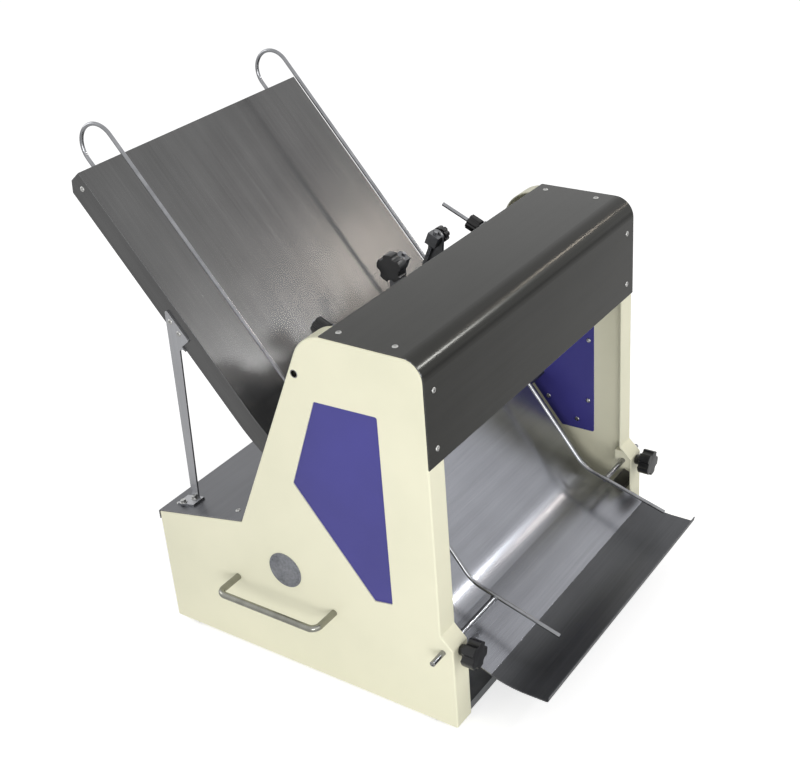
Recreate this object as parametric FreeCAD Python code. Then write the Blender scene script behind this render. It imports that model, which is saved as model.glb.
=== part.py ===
import FreeCAD, Part
import math
import os
from FreeCAD import Vector

# Bread slicer: a loaf slides down a sloping tray into two interleaved frames of serrated
# blades, driven up and down by eccentrics, and leaves sliced over a curved chute.
#
# All sizes are in millimetres.  X runs across the machine (left is -X), Y from the front to
# the rear, Z up.  Sizes are written with Y = 0 at the front foot of the side frames and
# Z = 0 at their bottom edge; the finished parts are then moved so that the origin lies in
# the middle of the whole machine, on the surface that it stands on.

# ---- sheet metal and side frames ----
MACHINE_WIDTH = 572.0          # over the outer faces of the side frames
FRAME_SHEET = 2.0              # painted steel of the side frames
STEEL_SHEET = 1.5              # stainless sheet of cover, trays, chute, shelf and panels
SHEET_BEND = 2.5               # outer radius of a sharp fold in that sheet
FRAME_DEPTH = 515.0            # front foot to rear edge
FRAME_HEIGHT = 564.0           # bottom edge to flat top
FLANGE_WIDTH = 35.0            # inward flange all round each side frame
FRAME_FOLD = 3.0               # radius of the plain folds of the frame outline
UPPER_FRONT = 18.7             # upper front edge stands this far behind the foot
STEP_HEIGHT = 153.0            # top of the 45 degree step in the front edge
LEDGE_REAR_HEIGHT = 195.0      # ledge height at the rear edge
LEDGE_FRONT = (350.0, 229.0)   # front end of the ledge (Y, Z)
FRONT_TOP_RADIUS = 28.0
REAR_TOP_RADIUS = 55.0
PANEL_PLAY = 0.5               # side play of a plate that spans between the side frames

# ---- window in each side frame ----
WINDOW = ((191.0, 467.0), (91.5, 470.0), (93.0, 178.0), (123.0, 173.0), (243.0, 327.0))
PANEL = ((203.0, 478.0), (81.5, 481.0), (82.0, 148.0), (140.0, 147.5), (264.0, 307.0))
WINDOW_RADIUS = 3.0

# ---- blade plane and crankshaft ----
BLADE_LEAN = 66.0              # blades rise at this angle from level, leaning forward
CRANK_AXIS = (278.0, 170.0)    # crankshaft centre (Y, Z); the blade plane passes through it
CRANK_THROW = 15.0             # eccentricity, half of the blade stroke
BLADE_COUNT = 31
BLADE_PITCH = 12.0             # slice thickness
BLADE_WIDTH = 12.0
BLADE_THICKNESS = 0.6
TOOTH_PITCH = 12.5
TOOTH_DEPTH = 2.2
FRAME_OFFSET = 11.0            # each blade frame lies this far from the blade plane's middle
BAR_THICKNESS = 14.0           # thickness of blade frame bars across the blade plane
BAR_HEIGHT = 22.0
BAR_LOW = 97.0                 # lower edge of the lower bar, along the blades from the crank
BAR_UNDER_TOP = 34.0           # upper bar's edge stays this far under the frames' flat top
BLADE_SEAT = 9.0               # depth of the saw slots that hold the blade ends
BLADE_SLOT_PLAY = 0.05         # play each side of a blade in its slot
STILE_INNER = 250.0            # side members of the blade frames, from and to (X)
STILE_OUTER = 278.0

# ---- blade guides on the side frames ----
GUIDE_LOW = 112.0              # lower and upper ends, along the blades from the crank
GUIDE_OVER_BAR = 16.0          # the guides end this far above the upper bar
GUIDE_INNER = 266.0            # free edge of the guide ribs (X)
GUIDE_BACK = 4.0               # thickness of the back plate
GUIDE_RIB = 8.0                # thickness of the outer ribs
SLIDE_PLAY = 0.1               # play between a stile and the ribs, each side

# ---- drive ----
SHAFT_RADIUS = 10.0
ECCENTRIC_RADIUS = 28.0
STRAP_WALL = 9.0
ROD_THICKNESS = 9.0
ROD_NECK = 14.0                # width of a connecting rod between its two ends
SMALL_END_RADIUS = 10.0
WRIST_HEIGHT = 54.0            # small end above the crankshaft, along the blades
WRIST_PIN_RADIUS = 5.0
FRONT_ROD_INNER = 247.0        # inner face (X) of the rods that drive the front blade frame
REAR_ROD_INNER = 258.5         # inner face (X) of the rods that drive the rear blade frame
RUNNING_FIT = 0.05             # radial play of turning and sliding fits
OPEN_GAP = 0.3                 # gap where two moving pieces pass face to face
LUG_THICKNESS = 8.2
BEARING_RADIUS = 40.0
BEARING_DEPTH = 14.0
CAP_RADIUS = 28.0
CAP_DEPTH = 2.5
PULLEY_RADIUS = 75.0
MOTOR_PULLEY_RADIUS = 25.0
PULLEY_INNER = 195.0           # belt pulleys, inner face (X)
PULLEY_WIDTH = 16.0
PULLEY_HUB = 8.0               # the hub stands out by this much
PULLEY_HUB_RADIUS = 20.0
PULLEY_RIM = 8.0               # thickness of the rim under the belt
PULLEY_WEB = 6.0               # thickness of the web between rim and hub
BELT_TOP = 10.0                # width of the V-belt at its outer face
BELT_BOTTOM = 6.0
BELT_DEPTH = 6.0
BELT_PLAY = 0.3                # gap between the belt and the pulley flanks
MOTOR_TO_REAR = 90.0           # motor shaft in front of the side frames' rear edge
MOTOR_HEIGHT = 92.0
MOTOR_RADIUS = 60.0
MOTOR_INNER = -10.0            # ends of the motor body (X)
MOTOR_OUTER = 176.0
MOTOR_SHAFT_RADIUS = 7.0
MOTOR_FOOT_SPAN = 84.0         # feet, front to rear
MOTOR_FOOT_WIDTH = 12.0
MOTOR_BELL_DEPTH = 18.0
MOTOR_FAN_DEPTH = 30.0
MOTOR_SHAFT_DEPTH = 20.0
TERMINAL_BOX = (60.0, 60.0, 37.0)  # length, width and height of the terminal box
BRACKET_HEIGHT = 15.0
BRACKET_SHEET = 3.0
BRACKET_FLANGE = 14.0

# ---- loading tray ----
TRAY_HALF_WIDTH = 242.0
TRAY_TOP = (602.6, 700.3)      # upper end of the tray surface (Y, Z)
TRAY_SLOPE = 50.6
TRAY_END_GAP = 3.0             # clearance from the tray's lower end to the rear blade frame
SLOT_HEIGHT = 141.0            # tray's lower end, along the blades from the crank
TRAY_BEND = 280.0
TRAY_FLANGE = 34.0
TRAY_CHAMFER = 13.0
TRAY_ROD_RADIUS = 8.0
TRAY_ROD_FROM_END = 38.0       # tray rod behind the tray's lower end

# ---- struts that carry the tray ----
STRUT_SHEET = 3.0
STRUT_WIDTH = 13.0
STRUT_TO_REAR = 37.0           # strut foot in front of the side frames' rear edge
STRUT_LEAN = 13.0              # the strut's upper end stands this far in front of its foot
STRUT_HEAD_LENGTH = 58.0       # upper end along the tray's side flange
STRUT_LAP = 19.0               # overlap on the side flange, up from its lower edge
STRUT_CORNER = 3.0
STRUT_NECK_RADIUS = 6.0        # between the strut and the flange's lower edge
STRUT_FOOT_LENGTH = 34.0
STRUT_FOOT_WIDTH = 24.0

# ---- discharge chute and catch tray ----
CHUTE_HALF_WIDTH = 238.0
CHUTE_TOP = (203.0, 281.5)
CHUTE_SLOPE = 52.6
CHUTE_KNEE = (71.8, 109.9)     # corner between the steep and the flat run
CHUTE_FOOT = (-54.0, 63.5)     # corner between the flat run and the catch tray's end
CHUTE_END_Y = -28.0
CHUTE_KNEE_RADIUS = 80.0
CHUTE_FOOT_RADIUS = 160.0
CHUTE_FLANGE = 12.0
CHUTE_END_GAP = 2.5            # clearance from the chute's side flanges to the front blade frame
CATCH_START_Y = 2.0
CATCH_END_Y = -113.6
CATCH_LIP = 9.0

# ---- top cover ----
COVER_REAR = 171.0
COVER_LOW = 413.0
COVER_RETURN = 12.0

# ---- rear shelf, rear panel and base ----
SHELF_FOLD = 10.0
SLOT_COUNT = 9
AIR_SLOT_LENGTH = 46.0
AIR_SLOT_WIDTH = 5.0
AIR_SLOT_PITCH = 16.0
BASE_LIP = 15.0
FOOT_RADIUS = 15.0
FOOT_TAPER = 3.0
FOOT_HEIGHT = 8.0
FOOT_X = 266.0
FOOT_TO_FRONT = 40.0           # feet from the side frames' front and rear ends
FOOT_TO_REAR = 35.0
GLAND_X = -200.0
GLAND_Z = 45.0
GLAND_RADIUS = 8.0
GLAND_BORE_RADIUS = 4.0
GLAND_NUT_RADIUS = 12.0        # over the corners
GLAND_NUT_DEPTH = 5.0
GLAND_INSIDE = 10.0            # the sleeve stands out of the panel by this much, each side
GLAND_OUTSIDE = 12.0

# ---- tie bars ----
TIE_SIZE = 20.0
TOP_TIE_Y = 60.0
CHUTE_TIE_DOWN = 45.0          # chute tie bar, this far down the chute from its top
FRONT_TIE_Y = 18.0

# ---- carry handles ----
HANDLE_RADIUS = 5.0
HANDLE_REACH = 45.0            # centreline stands this far out of the side frame
HANDLE_FRONT_Y = 197.0
HANDLE_REAR_Y = 372.0
HANDLE_Z = 125.0
HANDLE_BEND = 12.0
HANDLE_NUT_RADIUS = 9.0        # over the corners
HANDLE_NUT_DEPTH = 7.0
HANDLE_END = 1.0               # the rod's end stands out of its nut by this much

# ---- discharge guides and front star knobs ----
GUIDE_ROD = (16.0, 127.5)      # round rods of the discharge guides (Y, Z)
GUIDE_ROD_RADIUS = 4.0
GUIDE_WIRE_RADIUS = 3.0
LEFT_WIRE_X = -150.0
RIGHT_WIRE_X = 190.0
LEFT_ROD_END = -312.0
RIGHT_ROD_END = 304.0
WIRE_TIP = (-86.0, 99.0)
WIRE_KNEE = (52.0, 141.0)
WIRE_TOP = (172.0, 298.0)
WIRE_BEND = 55.0
CLAMP_BLOCK_DEPTH = 28.0
CLAMP_BLOCK_CHAMFER = 14.0     # follows the 45 degree step of the side frame
CLAMP_BLOCK_UNDER = 13.0       # block below the rod's centre
CLAMP_BLOCK_GAP = 2.0          # block below the sloping flange
CLAMP_BLOCK_INSET = 4.0        # block's inner face short of the flange's free edge
CLAMP_BLOCK_EDGE = 1.5         # rounding of its rear edges
FRONT_KNOB_X = 268.0
STUD_RADIUS = 3.0
KNOB_RADIUS = 20.0
KNOB_DEPTH = 18.0
KNOB_HUB_RADIUS = 8.0
KNOB_HUB_DEPTH = 11.0
KNOB_LOBES = 5

# ---- cross rod, loading guides and hold-down, in the blade plane's own directions ----
CROSS_ROD = (79.8, 326.8)      # behind the blade plane, along the blades
CROSS_ROD_RADIUS = 6.0
CROSS_ROD_BORE = 4.6           # open bore of the rod's ends
LEFT_GUIDE_X = -206.0
RIGHT_GUIDE_X = 180.0
GUIDE_HEIGHT = 59.5            # guide wire above the tray surface
GUIDE_TURN_U = 32.0            # the wire turns up this far behind the blade plane
GUIDE_TAIL_S = 347.0           # tail of the wire, along the blades
LEFT_TAIL_END = 116.0          # the wires' rear ends, behind the blade plane
RIGHT_TAIL_END = 161.5
GUIDE_TURN_BEND = 14.0
LOOP_UNDER = 7.3               # the wire's hooked leg lies this far under the tray surface
LOOP_REACH = 47.0              # top of the loop beyond the tray's upper end
LOOP_LEG = 80.0
CLAMP_HALF_WIDTH = 9.0
CLAMP_FRONT = 68.0
CLAMP_REAR = 92.0
CLAMP_LOW = 316.0
CLAMP_HIGH = 357.0
NUT_RADIUS = 12.0
NUT_DEPTH = 19.0
NUT_FLUTES = 8
HOLD_NUT_DEPTH = 10.0
ARM_INNER = 46.0
ARM_THICKNESS = 5.0
ARM_EYE_RADIUS = 12.0
HOLD_KNOB = (98.5, 384.0)      # grips of the hold-down, behind the blade plane, along the blades
HOLD_HUB_RADIUS = 7.0
HOLD_HUB_DEPTH = 5.0
HOLD_BLOCK_WIDTH = 11.0
HOLD_BLOCK_HALF = 9.0
HOLD_WIRE_RADIUS = 3.0
HOLD_WIRE_OVER = 5.0           # the wire's ends stand out above the blocks
HOLD_WIRE_LOW = 235.0
HOLD_WIRE_TOE = 30.0
HOLD_WIRE_BEND = 12.0
HOLD_STAR_DEPTH = 16.0

MOTOR_AXIS = (FRAME_DEPTH - MOTOR_TO_REAR, MOTOR_HEIGHT)
STRUT_FOOT_Y = FRAME_DEPTH - STRUT_TO_REAR
HOLD_WIRE_X = ARM_INNER - HOLD_BLOCK_WIDTH / 2
LEAN_SINE = math.sin(math.radians(BLADE_LEAN))
BAR_HIGH = (FRAME_HEIGHT - BAR_UNDER_TOP - CRANK_AXIS[1]) / LEAN_SINE
GUIDE_HIGH = BAR_HIGH + GUIDE_OVER_BAR
WEB_OUTER = MACHINE_WIDTH / 2
WEB_INNER = WEB_OUTER - FRAME_SHEET
FLANGE_INNER = WEB_OUTER - FLANGE_WIDTH
LEAN = math.radians(90 - BLADE_LEAN)
PARTS = {}


# ---- plane geometry in (Y, Z) ----

def heading(degrees):
    """Unit vector in the (Y, Z) plane at an angle from level."""
    angle = math.radians(degrees)
    return (math.cos(angle), math.sin(angle))


def along(point, direction, distance):
    """Point reached from a (Y, Z) point along a direction."""
    return (point[0] + direction[0] * distance, point[1] + direction[1] * distance)


def meet(first, first_heading, second, second_heading):
    """Point where two (Y, Z) lines cross."""
    gap = (second[0] - first[0], second[1] - first[1])
    turn = first_heading[0] * second_heading[1] - first_heading[1] * second_heading[0]
    reach = (gap[0] * second_heading[1] - gap[1] * second_heading[0]) / turn
    return along(first, first_heading, reach)


def direction(start, end):
    """Unit vector from one (Y, Z) point to another."""
    length = math.hypot(end[0] - start[0], end[1] - start[1])
    return ((end[0] - start[0]) / length, (end[1] - start[1]) / length)


def shifted(corners, distance, closed=False):
    """(Y, Z, radius) corners moved to their left by a distance, with their bend radii."""
    count = len(corners)
    result = []
    for i, (y, z, radius) in enumerate(corners):
        before = corners[i - 1] if closed or i > 0 else None
        after = corners[(i + 1) % count] if closed or i < count - 1 else None
        way_in = direction(before, (y, z)) if before else direction((y, z), after)
        way_out = direction((y, z), after) if after else way_in
        start = along((y, z), (-way_in[1], way_in[0]), distance)
        end = along((y, z), (-way_out[1], way_out[0]), distance)
        turn = way_in[0] * way_out[1] - way_in[1] * way_out[0]
        if abs(turn) < 1e-9:
            result.append((end[0], end[1], 0))
            continue
        corner = meet(start, way_in, end, way_out)
        bend = max(radius - distance * math.copysign(1, turn), 0)
        result.append((corner[0], corner[1], bend))
    return result


# ---- solids ----

def rounded_path(points, radii, closed=False):
    """Wire through 3-D points, with an arc of the given radius at each corner."""
    count = len(points)
    joints = []
    for i, corner in enumerate(points):
        if radii[i] == 0 or (not closed and i in (0, count - 1)):
            joints.append((corner, None, corner))
            continue
        back = (points[i - 1] - corner).normalize()
        ahead = (points[(i + 1) % count] - corner).normalize()
        half = back.getAngle(ahead) / 2
        reach = radii[i] / math.tan(half)
        inward = (back + ahead).normalize()
        middle = corner + inward * (radii[i] / math.sin(half) - radii[i])
        joints.append((corner + back * reach, middle, corner + ahead * reach))
    edges = []
    for i, (start, middle, end) in enumerate(joints):
        if middle:
            edges.append(Part.Arc(start, middle, end).toShape())
        if closed or i < count - 1:
            target = joints[(i + 1) % count][0]
            if (target - end).Length > 1e-6:
                edges.append(Part.makeLine(end, target))
    return Part.Wire(edges)


def plate(corners, x_start, x_end):
    """Solid between two X planes, with an outline of (Y, Z, radius) corners."""
    points = [Vector(x_start, y, z) for y, z, radius in corners]
    radii = [radius for y, z, radius in corners]
    face = Part.Face(rounded_path(points, radii, closed=True))
    return face.extrude(Vector(x_end - x_start, 0, 0))


def folded(corners, thickness, x_start, x_end):
    """Folded sheet: an open (Y, Z, radius) line thickened to its left."""
    other_side = shifted(corners, thickness)
    return plate(list(corners) + other_side[::-1], x_start, x_end)


def box(x_start, x_end, y_start, y_end, z_start, z_end):
    corner = Vector(x_start, y_start, z_start)
    return Part.makeBox(x_end - x_start, y_end - y_start, z_end - z_start, corner)


def cylinder_x(radius, x_start, x_end, y, z):
    return Part.makeCylinder(radius, x_end - x_start, Vector(x_start, y, z), Vector(1, 0, 0))


def cylinder_y(radius, y_start, y_end, x, z):
    return Part.makeCylinder(radius, y_end - y_start, Vector(x, y_start, z), Vector(0, 1, 0))


def cylinder_z(radius, z_start, z_end, x, y):
    return Part.makeCylinder(radius, z_end - z_start, Vector(x, y, z_start), Vector(0, 0, 1))


def bent_rod(points, bends, radius):
    """Round rod along 3-D points: cylinders on the straight runs, tori round the bends."""
    pieces = []
    for edge in rounded_path(points, bends).Edges:
        start = edge.valueAt(edge.FirstParameter)
        way = edge.tangentAt(edge.FirstParameter)
        if edge.Curve.TypeId == "Part::GeomLine":
            pieces.append(Part.makeCylinder(radius, edge.Length, start, way))
            continue
        ring = Part.Face(Part.Wire(Part.makeCircle(radius, start, way)))
        turn = math.degrees(edge.Length / edge.Curve.Radius)
        pieces.append(ring.revolve(edge.Curve.Center, edge.Curve.Axis, turn))
    return pieces[0].fuse(pieces[1:]).removeSplitter()


def mirrored(shape):
    """The same piece on the other side of the machine."""
    return shape.mirror(Vector(0, 0, 0), Vector(1, 0, 0))


def tilted(shape):
    """Place a piece drawn with Y behind the blade plane and Z along the blades."""
    shape.rotate(Vector(0, 0, 0), Vector(1, 0, 0), math.degrees(LEAN))
    shape.translate(Vector(0, CRANK_AXIS[0], CRANK_AXIS[1]))
    return shape


def tilted_point(behind, up):
    """(Y, Z) of a point given behind the blade plane and along the blades."""
    y = CRANK_AXIS[0] + behind * math.cos(LEAN) - up * math.sin(LEAN)
    z = CRANK_AXIS[1] + behind * math.sin(LEAN) + up * math.cos(LEAN)
    return (y, z)


def hexagon(radius, depth, start, way):
    """Hexagon prism, such as a nut: radius over the corners, from a point along an axis."""
    corners = []
    for i in range(7):
        angle = math.pi * i / 3
        corners.append(Vector(radius * math.cos(angle), radius * math.sin(angle), 0))
    prism = Part.Face(Part.makePolygon(corners)).extrude(Vector(0, 0, depth))
    prism.Placement = FreeCAD.Placement(start, FreeCAD.Rotation(Vector(0, 0, 1), way))
    return prism


def star(radius, lobes, depth, bore=0):
    """Star grip along +Z: a round grip with a hollow between each two lobes."""
    grip = Part.makeCylinder(radius, depth)
    hollow = radius * 0.36
    for i in range(lobes):
        angle = 2 * math.pi * i / lobes
        centre = Vector(radius * 1.1 * math.cos(angle), radius * 1.1 * math.sin(angle), 0)
        grip = grip.cut(Part.makeCylinder(hollow, depth, centre))
    if bore:
        grip = grip.cut(Part.makeCylinder(bore, depth))
    return grip


def pair(name, shape):
    """Keep a piece drawn on the left side, and its mirror image on the right."""
    PARTS[name + "_left"] = shape
    PARTS[name + "_right"] = mirrored(shape)


# ---- side frames ----

def frame_outline():
    slope = heading(180 - BLADE_LEAN)
    rear_top = meet(LEDGE_FRONT, slope, (0, FRAME_HEIGHT), (1, 0))
    return [
        (0, 0, FRAME_FOLD),
        (FRAME_DEPTH, 0, FRAME_FOLD),
        (FRAME_DEPTH, LEDGE_REAR_HEIGHT, FRAME_FOLD),
        (LEDGE_FRONT[0], LEDGE_FRONT[1], FRAME_FOLD),
        (rear_top[0], rear_top[1], REAR_TOP_RADIUS),
        (UPPER_FRONT, FRAME_HEIGHT, FRONT_TOP_RADIUS),
        (UPPER_FRONT, STEP_HEIGHT, FRAME_FOLD),
        (0, STEP_HEIGHT - UPPER_FRONT, FRAME_FOLD),
    ]


def side_frame():
    """Left side frame: a web with a flange folded inward all round."""
    outline = frame_outline()
    inner = shifted(outline, FRAME_SHEET, closed=True)
    frame = plate(outline, -WEB_OUTER, -FLANGE_INNER)
    folds = [edge for edge in frame.Edges if edge.BoundBox.XMax < -WEB_OUTER + 0.01]
    frame = frame.makeFillet(FRAME_FOLD * 0.8, folds)
    frame = frame.cut(plate(inner, -WEB_INNER, -FLANGE_INNER))
    window = [(y, z, WINDOW_RADIUS) for y, z in WINDOW]
    cross_y, cross_z = tilted_point(*CROSS_ROD)
    holes = [
        plate(window, -WEB_OUTER, -WEB_INNER),
        cylinder_x(CAP_RADIUS - 4, -WEB_OUTER, -WEB_INNER, *CRANK_AXIS),
        cylinder_x(CROSS_ROD_RADIUS + RUNNING_FIT, -WEB_OUTER, -WEB_INNER, cross_y, cross_z),
        cylinder_x(GUIDE_ROD_RADIUS + 2 * RUNNING_FIT, -WEB_OUTER, -WEB_INNER, *GUIDE_ROD),
        cylinder_y(STUD_RADIUS + 0.3, 0, FRAME_SHEET, -FRONT_KNOB_X, GUIDE_ROD[1]),
    ]
    for y in (HANDLE_FRONT_Y, HANDLE_REAR_Y):
        holes.append(cylinder_x(HANDLE_RADIUS, -WEB_OUTER, -WEB_INNER, y, HANDLE_Z))
    for hole in holes:
        frame = frame.cut(hole)
    return frame


def window_panel():
    outline = [(y, z, WINDOW_RADIUS) for y, z in PANEL]
    return plate(outline, -WEB_INNER, -WEB_INNER + STEEL_SHEET)


# ---- sheet metal between the side frames ----

def top_cover():
    outside = STEEL_SHEET
    front = UPPER_FRONT - outside
    top = FRAME_HEIGHT + outside
    line = [
        (COVER_REAR, top, 0),
        (front, top, FRONT_TOP_RADIUS + outside),
        (front, COVER_LOW, 0),
    ]
    sheet = folded(line, STEEL_SHEET, -WEB_OUTER, WEB_OUTER)
    inside = FLANGE_INNER - PANEL_PLAY
    rear = box(-inside, inside, COVER_REAR - outside, COVER_REAR, top - COVER_RETURN, top)
    lip = box(-inside, inside, front, front + COVER_RETURN, COVER_LOW, COVER_LOW + outside)
    return sheet.fuse([rear, lip]).removeSplitter()


def tray_line():
    """Upper surface of the loading tray, from its upper end to the blades."""
    rear_face = FRAME_OFFSET + BAR_THICKNESS / 2
    end = tilted_point(rear_face + TRAY_END_GAP, SLOT_HEIGHT)
    bend = meet(TRAY_TOP, heading(TRAY_SLOPE), end, heading(90 - BLADE_LEAN))
    return [(TRAY_TOP[0], TRAY_TOP[1], 0), (bend[0], bend[1], TRAY_BEND), (end[0], end[1], 0)]


def tray_rod_place():
    """Centre (Y, Z) of the rod that carries the tray's lower end."""
    end = tray_line()[2]
    feed = heading(90 - BLADE_LEAN)
    spot = along(end, feed, TRAY_ROD_FROM_END)
    return along(spot, (feed[1], -feed[0]), TRAY_FLANGE / 2)


def loading_tray():
    line = tray_line()
    sheet = folded(line, STEEL_SHEET, -TRAY_HALF_WIDTH, TRAY_HALF_WIDTH)
    flange = folded(line, TRAY_FLANGE, -TRAY_HALF_WIDTH, -TRAY_HALF_WIDTH + STEEL_SHEET)
    slope = heading(TRAY_SLOPE)
    corner = along(TRAY_TOP, (slope[1], -slope[0]), TRAY_FLANGE)
    cut = [
        (corner[0], corner[1], 0),
        along(corner, slope, -TRAY_CHAMFER) + (0,),
        along(corner, (-slope[1], slope[0]), TRAY_CHAMFER) + (0,),
    ]
    flange = flange.cut(plate(cut, -TRAY_HALF_WIDTH, -TRAY_HALF_WIDTH + STEEL_SHEET))
    hole = cylinder_x(TRAY_ROD_RADIUS, -TRAY_HALF_WIDTH, TRAY_HALF_WIDTH, *tray_rod_place())
    flange = flange.cut(hole)
    return sheet.fuse([flange, mirrored(flange)]).removeSplitter()


def tray_strut():
    """Left strut: a flat bar from the rear shelf to the tray's side flange, with its foot."""
    slope = heading(TRAY_SLOPE)
    ledge = shelf_line()
    down = direction(ledge[1], ledge[2])
    foot = meet(ledge[1], down, (STRUT_FOOT_Y, 0), (0, 1))
    level = foot[1] + STEEL_SHEET
    front_foot = STRUT_FOOT_Y - STRUT_WIDTH / 2
    rear_foot = STRUT_FOOT_Y + STRUT_WIDTH / 2
    down_flange = (slope[1], -slope[0])
    edge = along(TRAY_TOP, down_flange, TRAY_FLANGE - STRUT_LAP)
    rear_top = meet(edge, slope, (rear_foot - STRUT_LEAN * 0.65, 0), (0, 1))
    front_top = along(rear_top, slope, -STRUT_HEAD_LENGTH)
    under = along(front_top, down_flange, STRUT_LAP)
    neck = meet(under, slope, (front_foot - STRUT_LEAN, 0), (0, 1))
    corners = [
        (front_foot, level, 0),
        (rear_foot, level, 0),
        (rear_top[0], rear_top[1], STRUT_CORNER),
        (front_top[0], front_top[1], STRUT_CORNER),
        (under[0], under[1], 0),
        (neck[0], neck[1], STRUT_NECK_RADIUS),
    ]
    bar = plate(corners, -TRAY_HALF_WIDTH - STRUT_SHEET, -TRAY_HALF_WIDTH)
    half = STRUT_FOOT_LENGTH / 2
    line = [along(foot, down, half) + (0,), along(foot, down, -half) + (0,)]
    pad = folded(line, STRUT_SHEET, -TRAY_HALF_WIDTH - STRUT_FOOT_WIDTH, -TRAY_HALF_WIDTH)
    return bar.fuse(pad).removeSplitter()


def shelf_line():
    """Upper surface of the rear shelf: rear fold, slope over the ledge, front fold."""
    ledge = [(FRAME_DEPTH, LEDGE_REAR_HEIGHT, 0), (LEDGE_FRONT[0], LEDGE_FRONT[1], 0)]
    upper = shifted(ledge, -STEEL_SHEET)
    rear = FRAME_DEPTH + STEEL_SHEET
    corner = meet(upper[0][:2], direction(upper[0], upper[1]), (rear, 0), (0, 1))
    return [(rear, corner[1] - SHELF_FOLD * 1.5), corner, upper[1][:2]]


def rear_shelf():
    line = shelf_line()
    corners = [line[0] + (0,), line[1] + (SHEET_BEND,), line[2] + (0,)]
    sheet = folded(corners, STEEL_SHEET, -WEB_OUTER, WEB_OUTER)
    inside = FLANGE_INNER - PANEL_PLAY
    front = LEDGE_FRONT[0]
    top = line[2][1]
    half_sheet = STEEL_SHEET / 2
    fold = box(-inside, inside, front, front + STEEL_SHEET, top - SHELF_FOLD, top - half_sheet)
    return sheet.fuse(fold).removeSplitter()


def rear_panel():
    inside = WEB_INNER - PANEL_PLAY
    rear = FRAME_DEPTH - FRAME_SHEET
    low = FRAME_SHEET + STEEL_SHEET
    high = LEDGE_REAR_HEIGHT - FRAME_SHEET - PANEL_PLAY
    panel = box(-inside, inside, rear - STEEL_SHEET, rear, low, high)
    slot_low = (low + high) / 2 - AIR_SLOT_LENGTH / 2
    for i in range(SLOT_COUNT):
        x = (MOTOR_INNER + MOTOR_OUTER) / 2 + (i - (SLOT_COUNT - 1) / 2) * AIR_SLOT_PITCH
        left = x - AIR_SLOT_WIDTH / 2
        right = x + AIR_SLOT_WIDTH / 2
        slot_high = slot_low + AIR_SLOT_LENGTH
        panel = panel.cut(box(left, right, rear - STEEL_SHEET, rear, slot_low, slot_high))
    return panel.cut(cylinder_y(GLAND_RADIUS, rear - STEEL_SHEET, rear, GLAND_X, GLAND_Z))


def cable_gland():
    """Threaded sleeve through the rear panel, held by a hexagon on each side of the sheet."""
    rear = FRAME_DEPTH - FRAME_SHEET
    inside = rear - STEEL_SHEET
    ends = (inside - GLAND_INSIDE, rear + GLAND_OUTSIDE)
    body = cylinder_y(GLAND_RADIUS, ends[0], ends[1], GLAND_X, GLAND_Z)
    hexagons = []
    for y in (rear, inside - GLAND_NUT_DEPTH):
        place = Vector(GLAND_X, y, GLAND_Z)
        hexagons.append(hexagon(GLAND_NUT_RADIUS, GLAND_NUT_DEPTH, place, Vector(0, 1, 0)))
    bore = cylinder_y(GLAND_BORE_RADIUS, ends[0], ends[1], GLAND_X, GLAND_Z)
    return body.fuse(hexagons).cut(bore).removeSplitter()


def base_plate():
    inside = WEB_INNER - PANEL_PLAY
    front = FRAME_SHEET + PANEL_PLAY
    rear = FRAME_DEPTH - FRAME_SHEET - STEEL_SHEET - PANEL_PLAY
    low = FRAME_SHEET
    line = [
        (front, low + BASE_LIP, 0),
        (front, low, SHEET_BEND),
        (rear, low, SHEET_BEND),
        (rear, low + BASE_LIP, 0),
    ]
    return folded(line, STEEL_SHEET, -inside, inside)


def rubber_feet():
    feet = []
    for x in (-FOOT_X, FOOT_X):
        for y in (FOOT_TO_FRONT, FRAME_DEPTH - FOOT_TO_REAR):
            place = Vector(x, y, -FOOT_HEIGHT)
            feet.append(Part.makeCone(FOOT_RADIUS - FOOT_TAPER, FOOT_RADIUS, FOOT_HEIGHT, place))
    return Part.makeCompound(feet)


# ---- discharge chute ----

def chute_line():
    steep = heading(CHUTE_SLOPE)
    top = CHUTE_TOP
    knee = meet(top, steep, (CHUTE_KNEE[0], 0), (0, 1))
    run = direction(CHUTE_FOOT, knee)
    return top, knee, run


def discharge_chute():
    top, knee, run = chute_line()
    end = meet(CHUTE_FOOT, run, (CHUTE_END_Y, 0), (0, 1))
    line = [(top[0], top[1], 0), (knee[0], knee[1], CHUTE_KNEE_RADIUS), (end[0], end[1], 0)]
    sheet = folded(line, STEEL_SHEET, -CHUTE_HALF_WIDTH, CHUTE_HALF_WIDTH)
    flange = folded(line, CHUTE_FLANGE, -CHUTE_HALF_WIDTH, -CHUTE_HALF_WIDTH + STEEL_SHEET)
    low_end = meet(CHUTE_FOOT, run, (CATCH_START_Y, 0), (0, 1))
    clear = box(-WEB_OUTER, 0, CATCH_END_Y, CATCH_START_Y + 1, 0, low_end[1] - STEEL_SHEET)
    under = folded(
        [low_end + (0,), end + (0,)], -CHUTE_FLANGE * 2, -CHUTE_HALF_WIDTH, CHUTE_HALF_WIDTH)
    lowered = folded([low_end + (0,), end + (0,)], STEEL_SHEET, -CHUTE_HALF_WIDTH, CHUTE_HALF_WIDTH)
    flange = flange.cut(clear).cut(lowered.fuse(under))
    front_face = -FRAME_OFFSET - BAR_THICKNESS / 2 - CHUTE_END_GAP
    blades_room = box(-WEB_OUTER, 0, front_face, -front_face, BAR_LOW, BAR_HIGH)
    flange = flange.cut(tilted(blades_room))
    return sheet.fuse([flange, mirrored(flange)]).removeSplitter()


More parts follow.
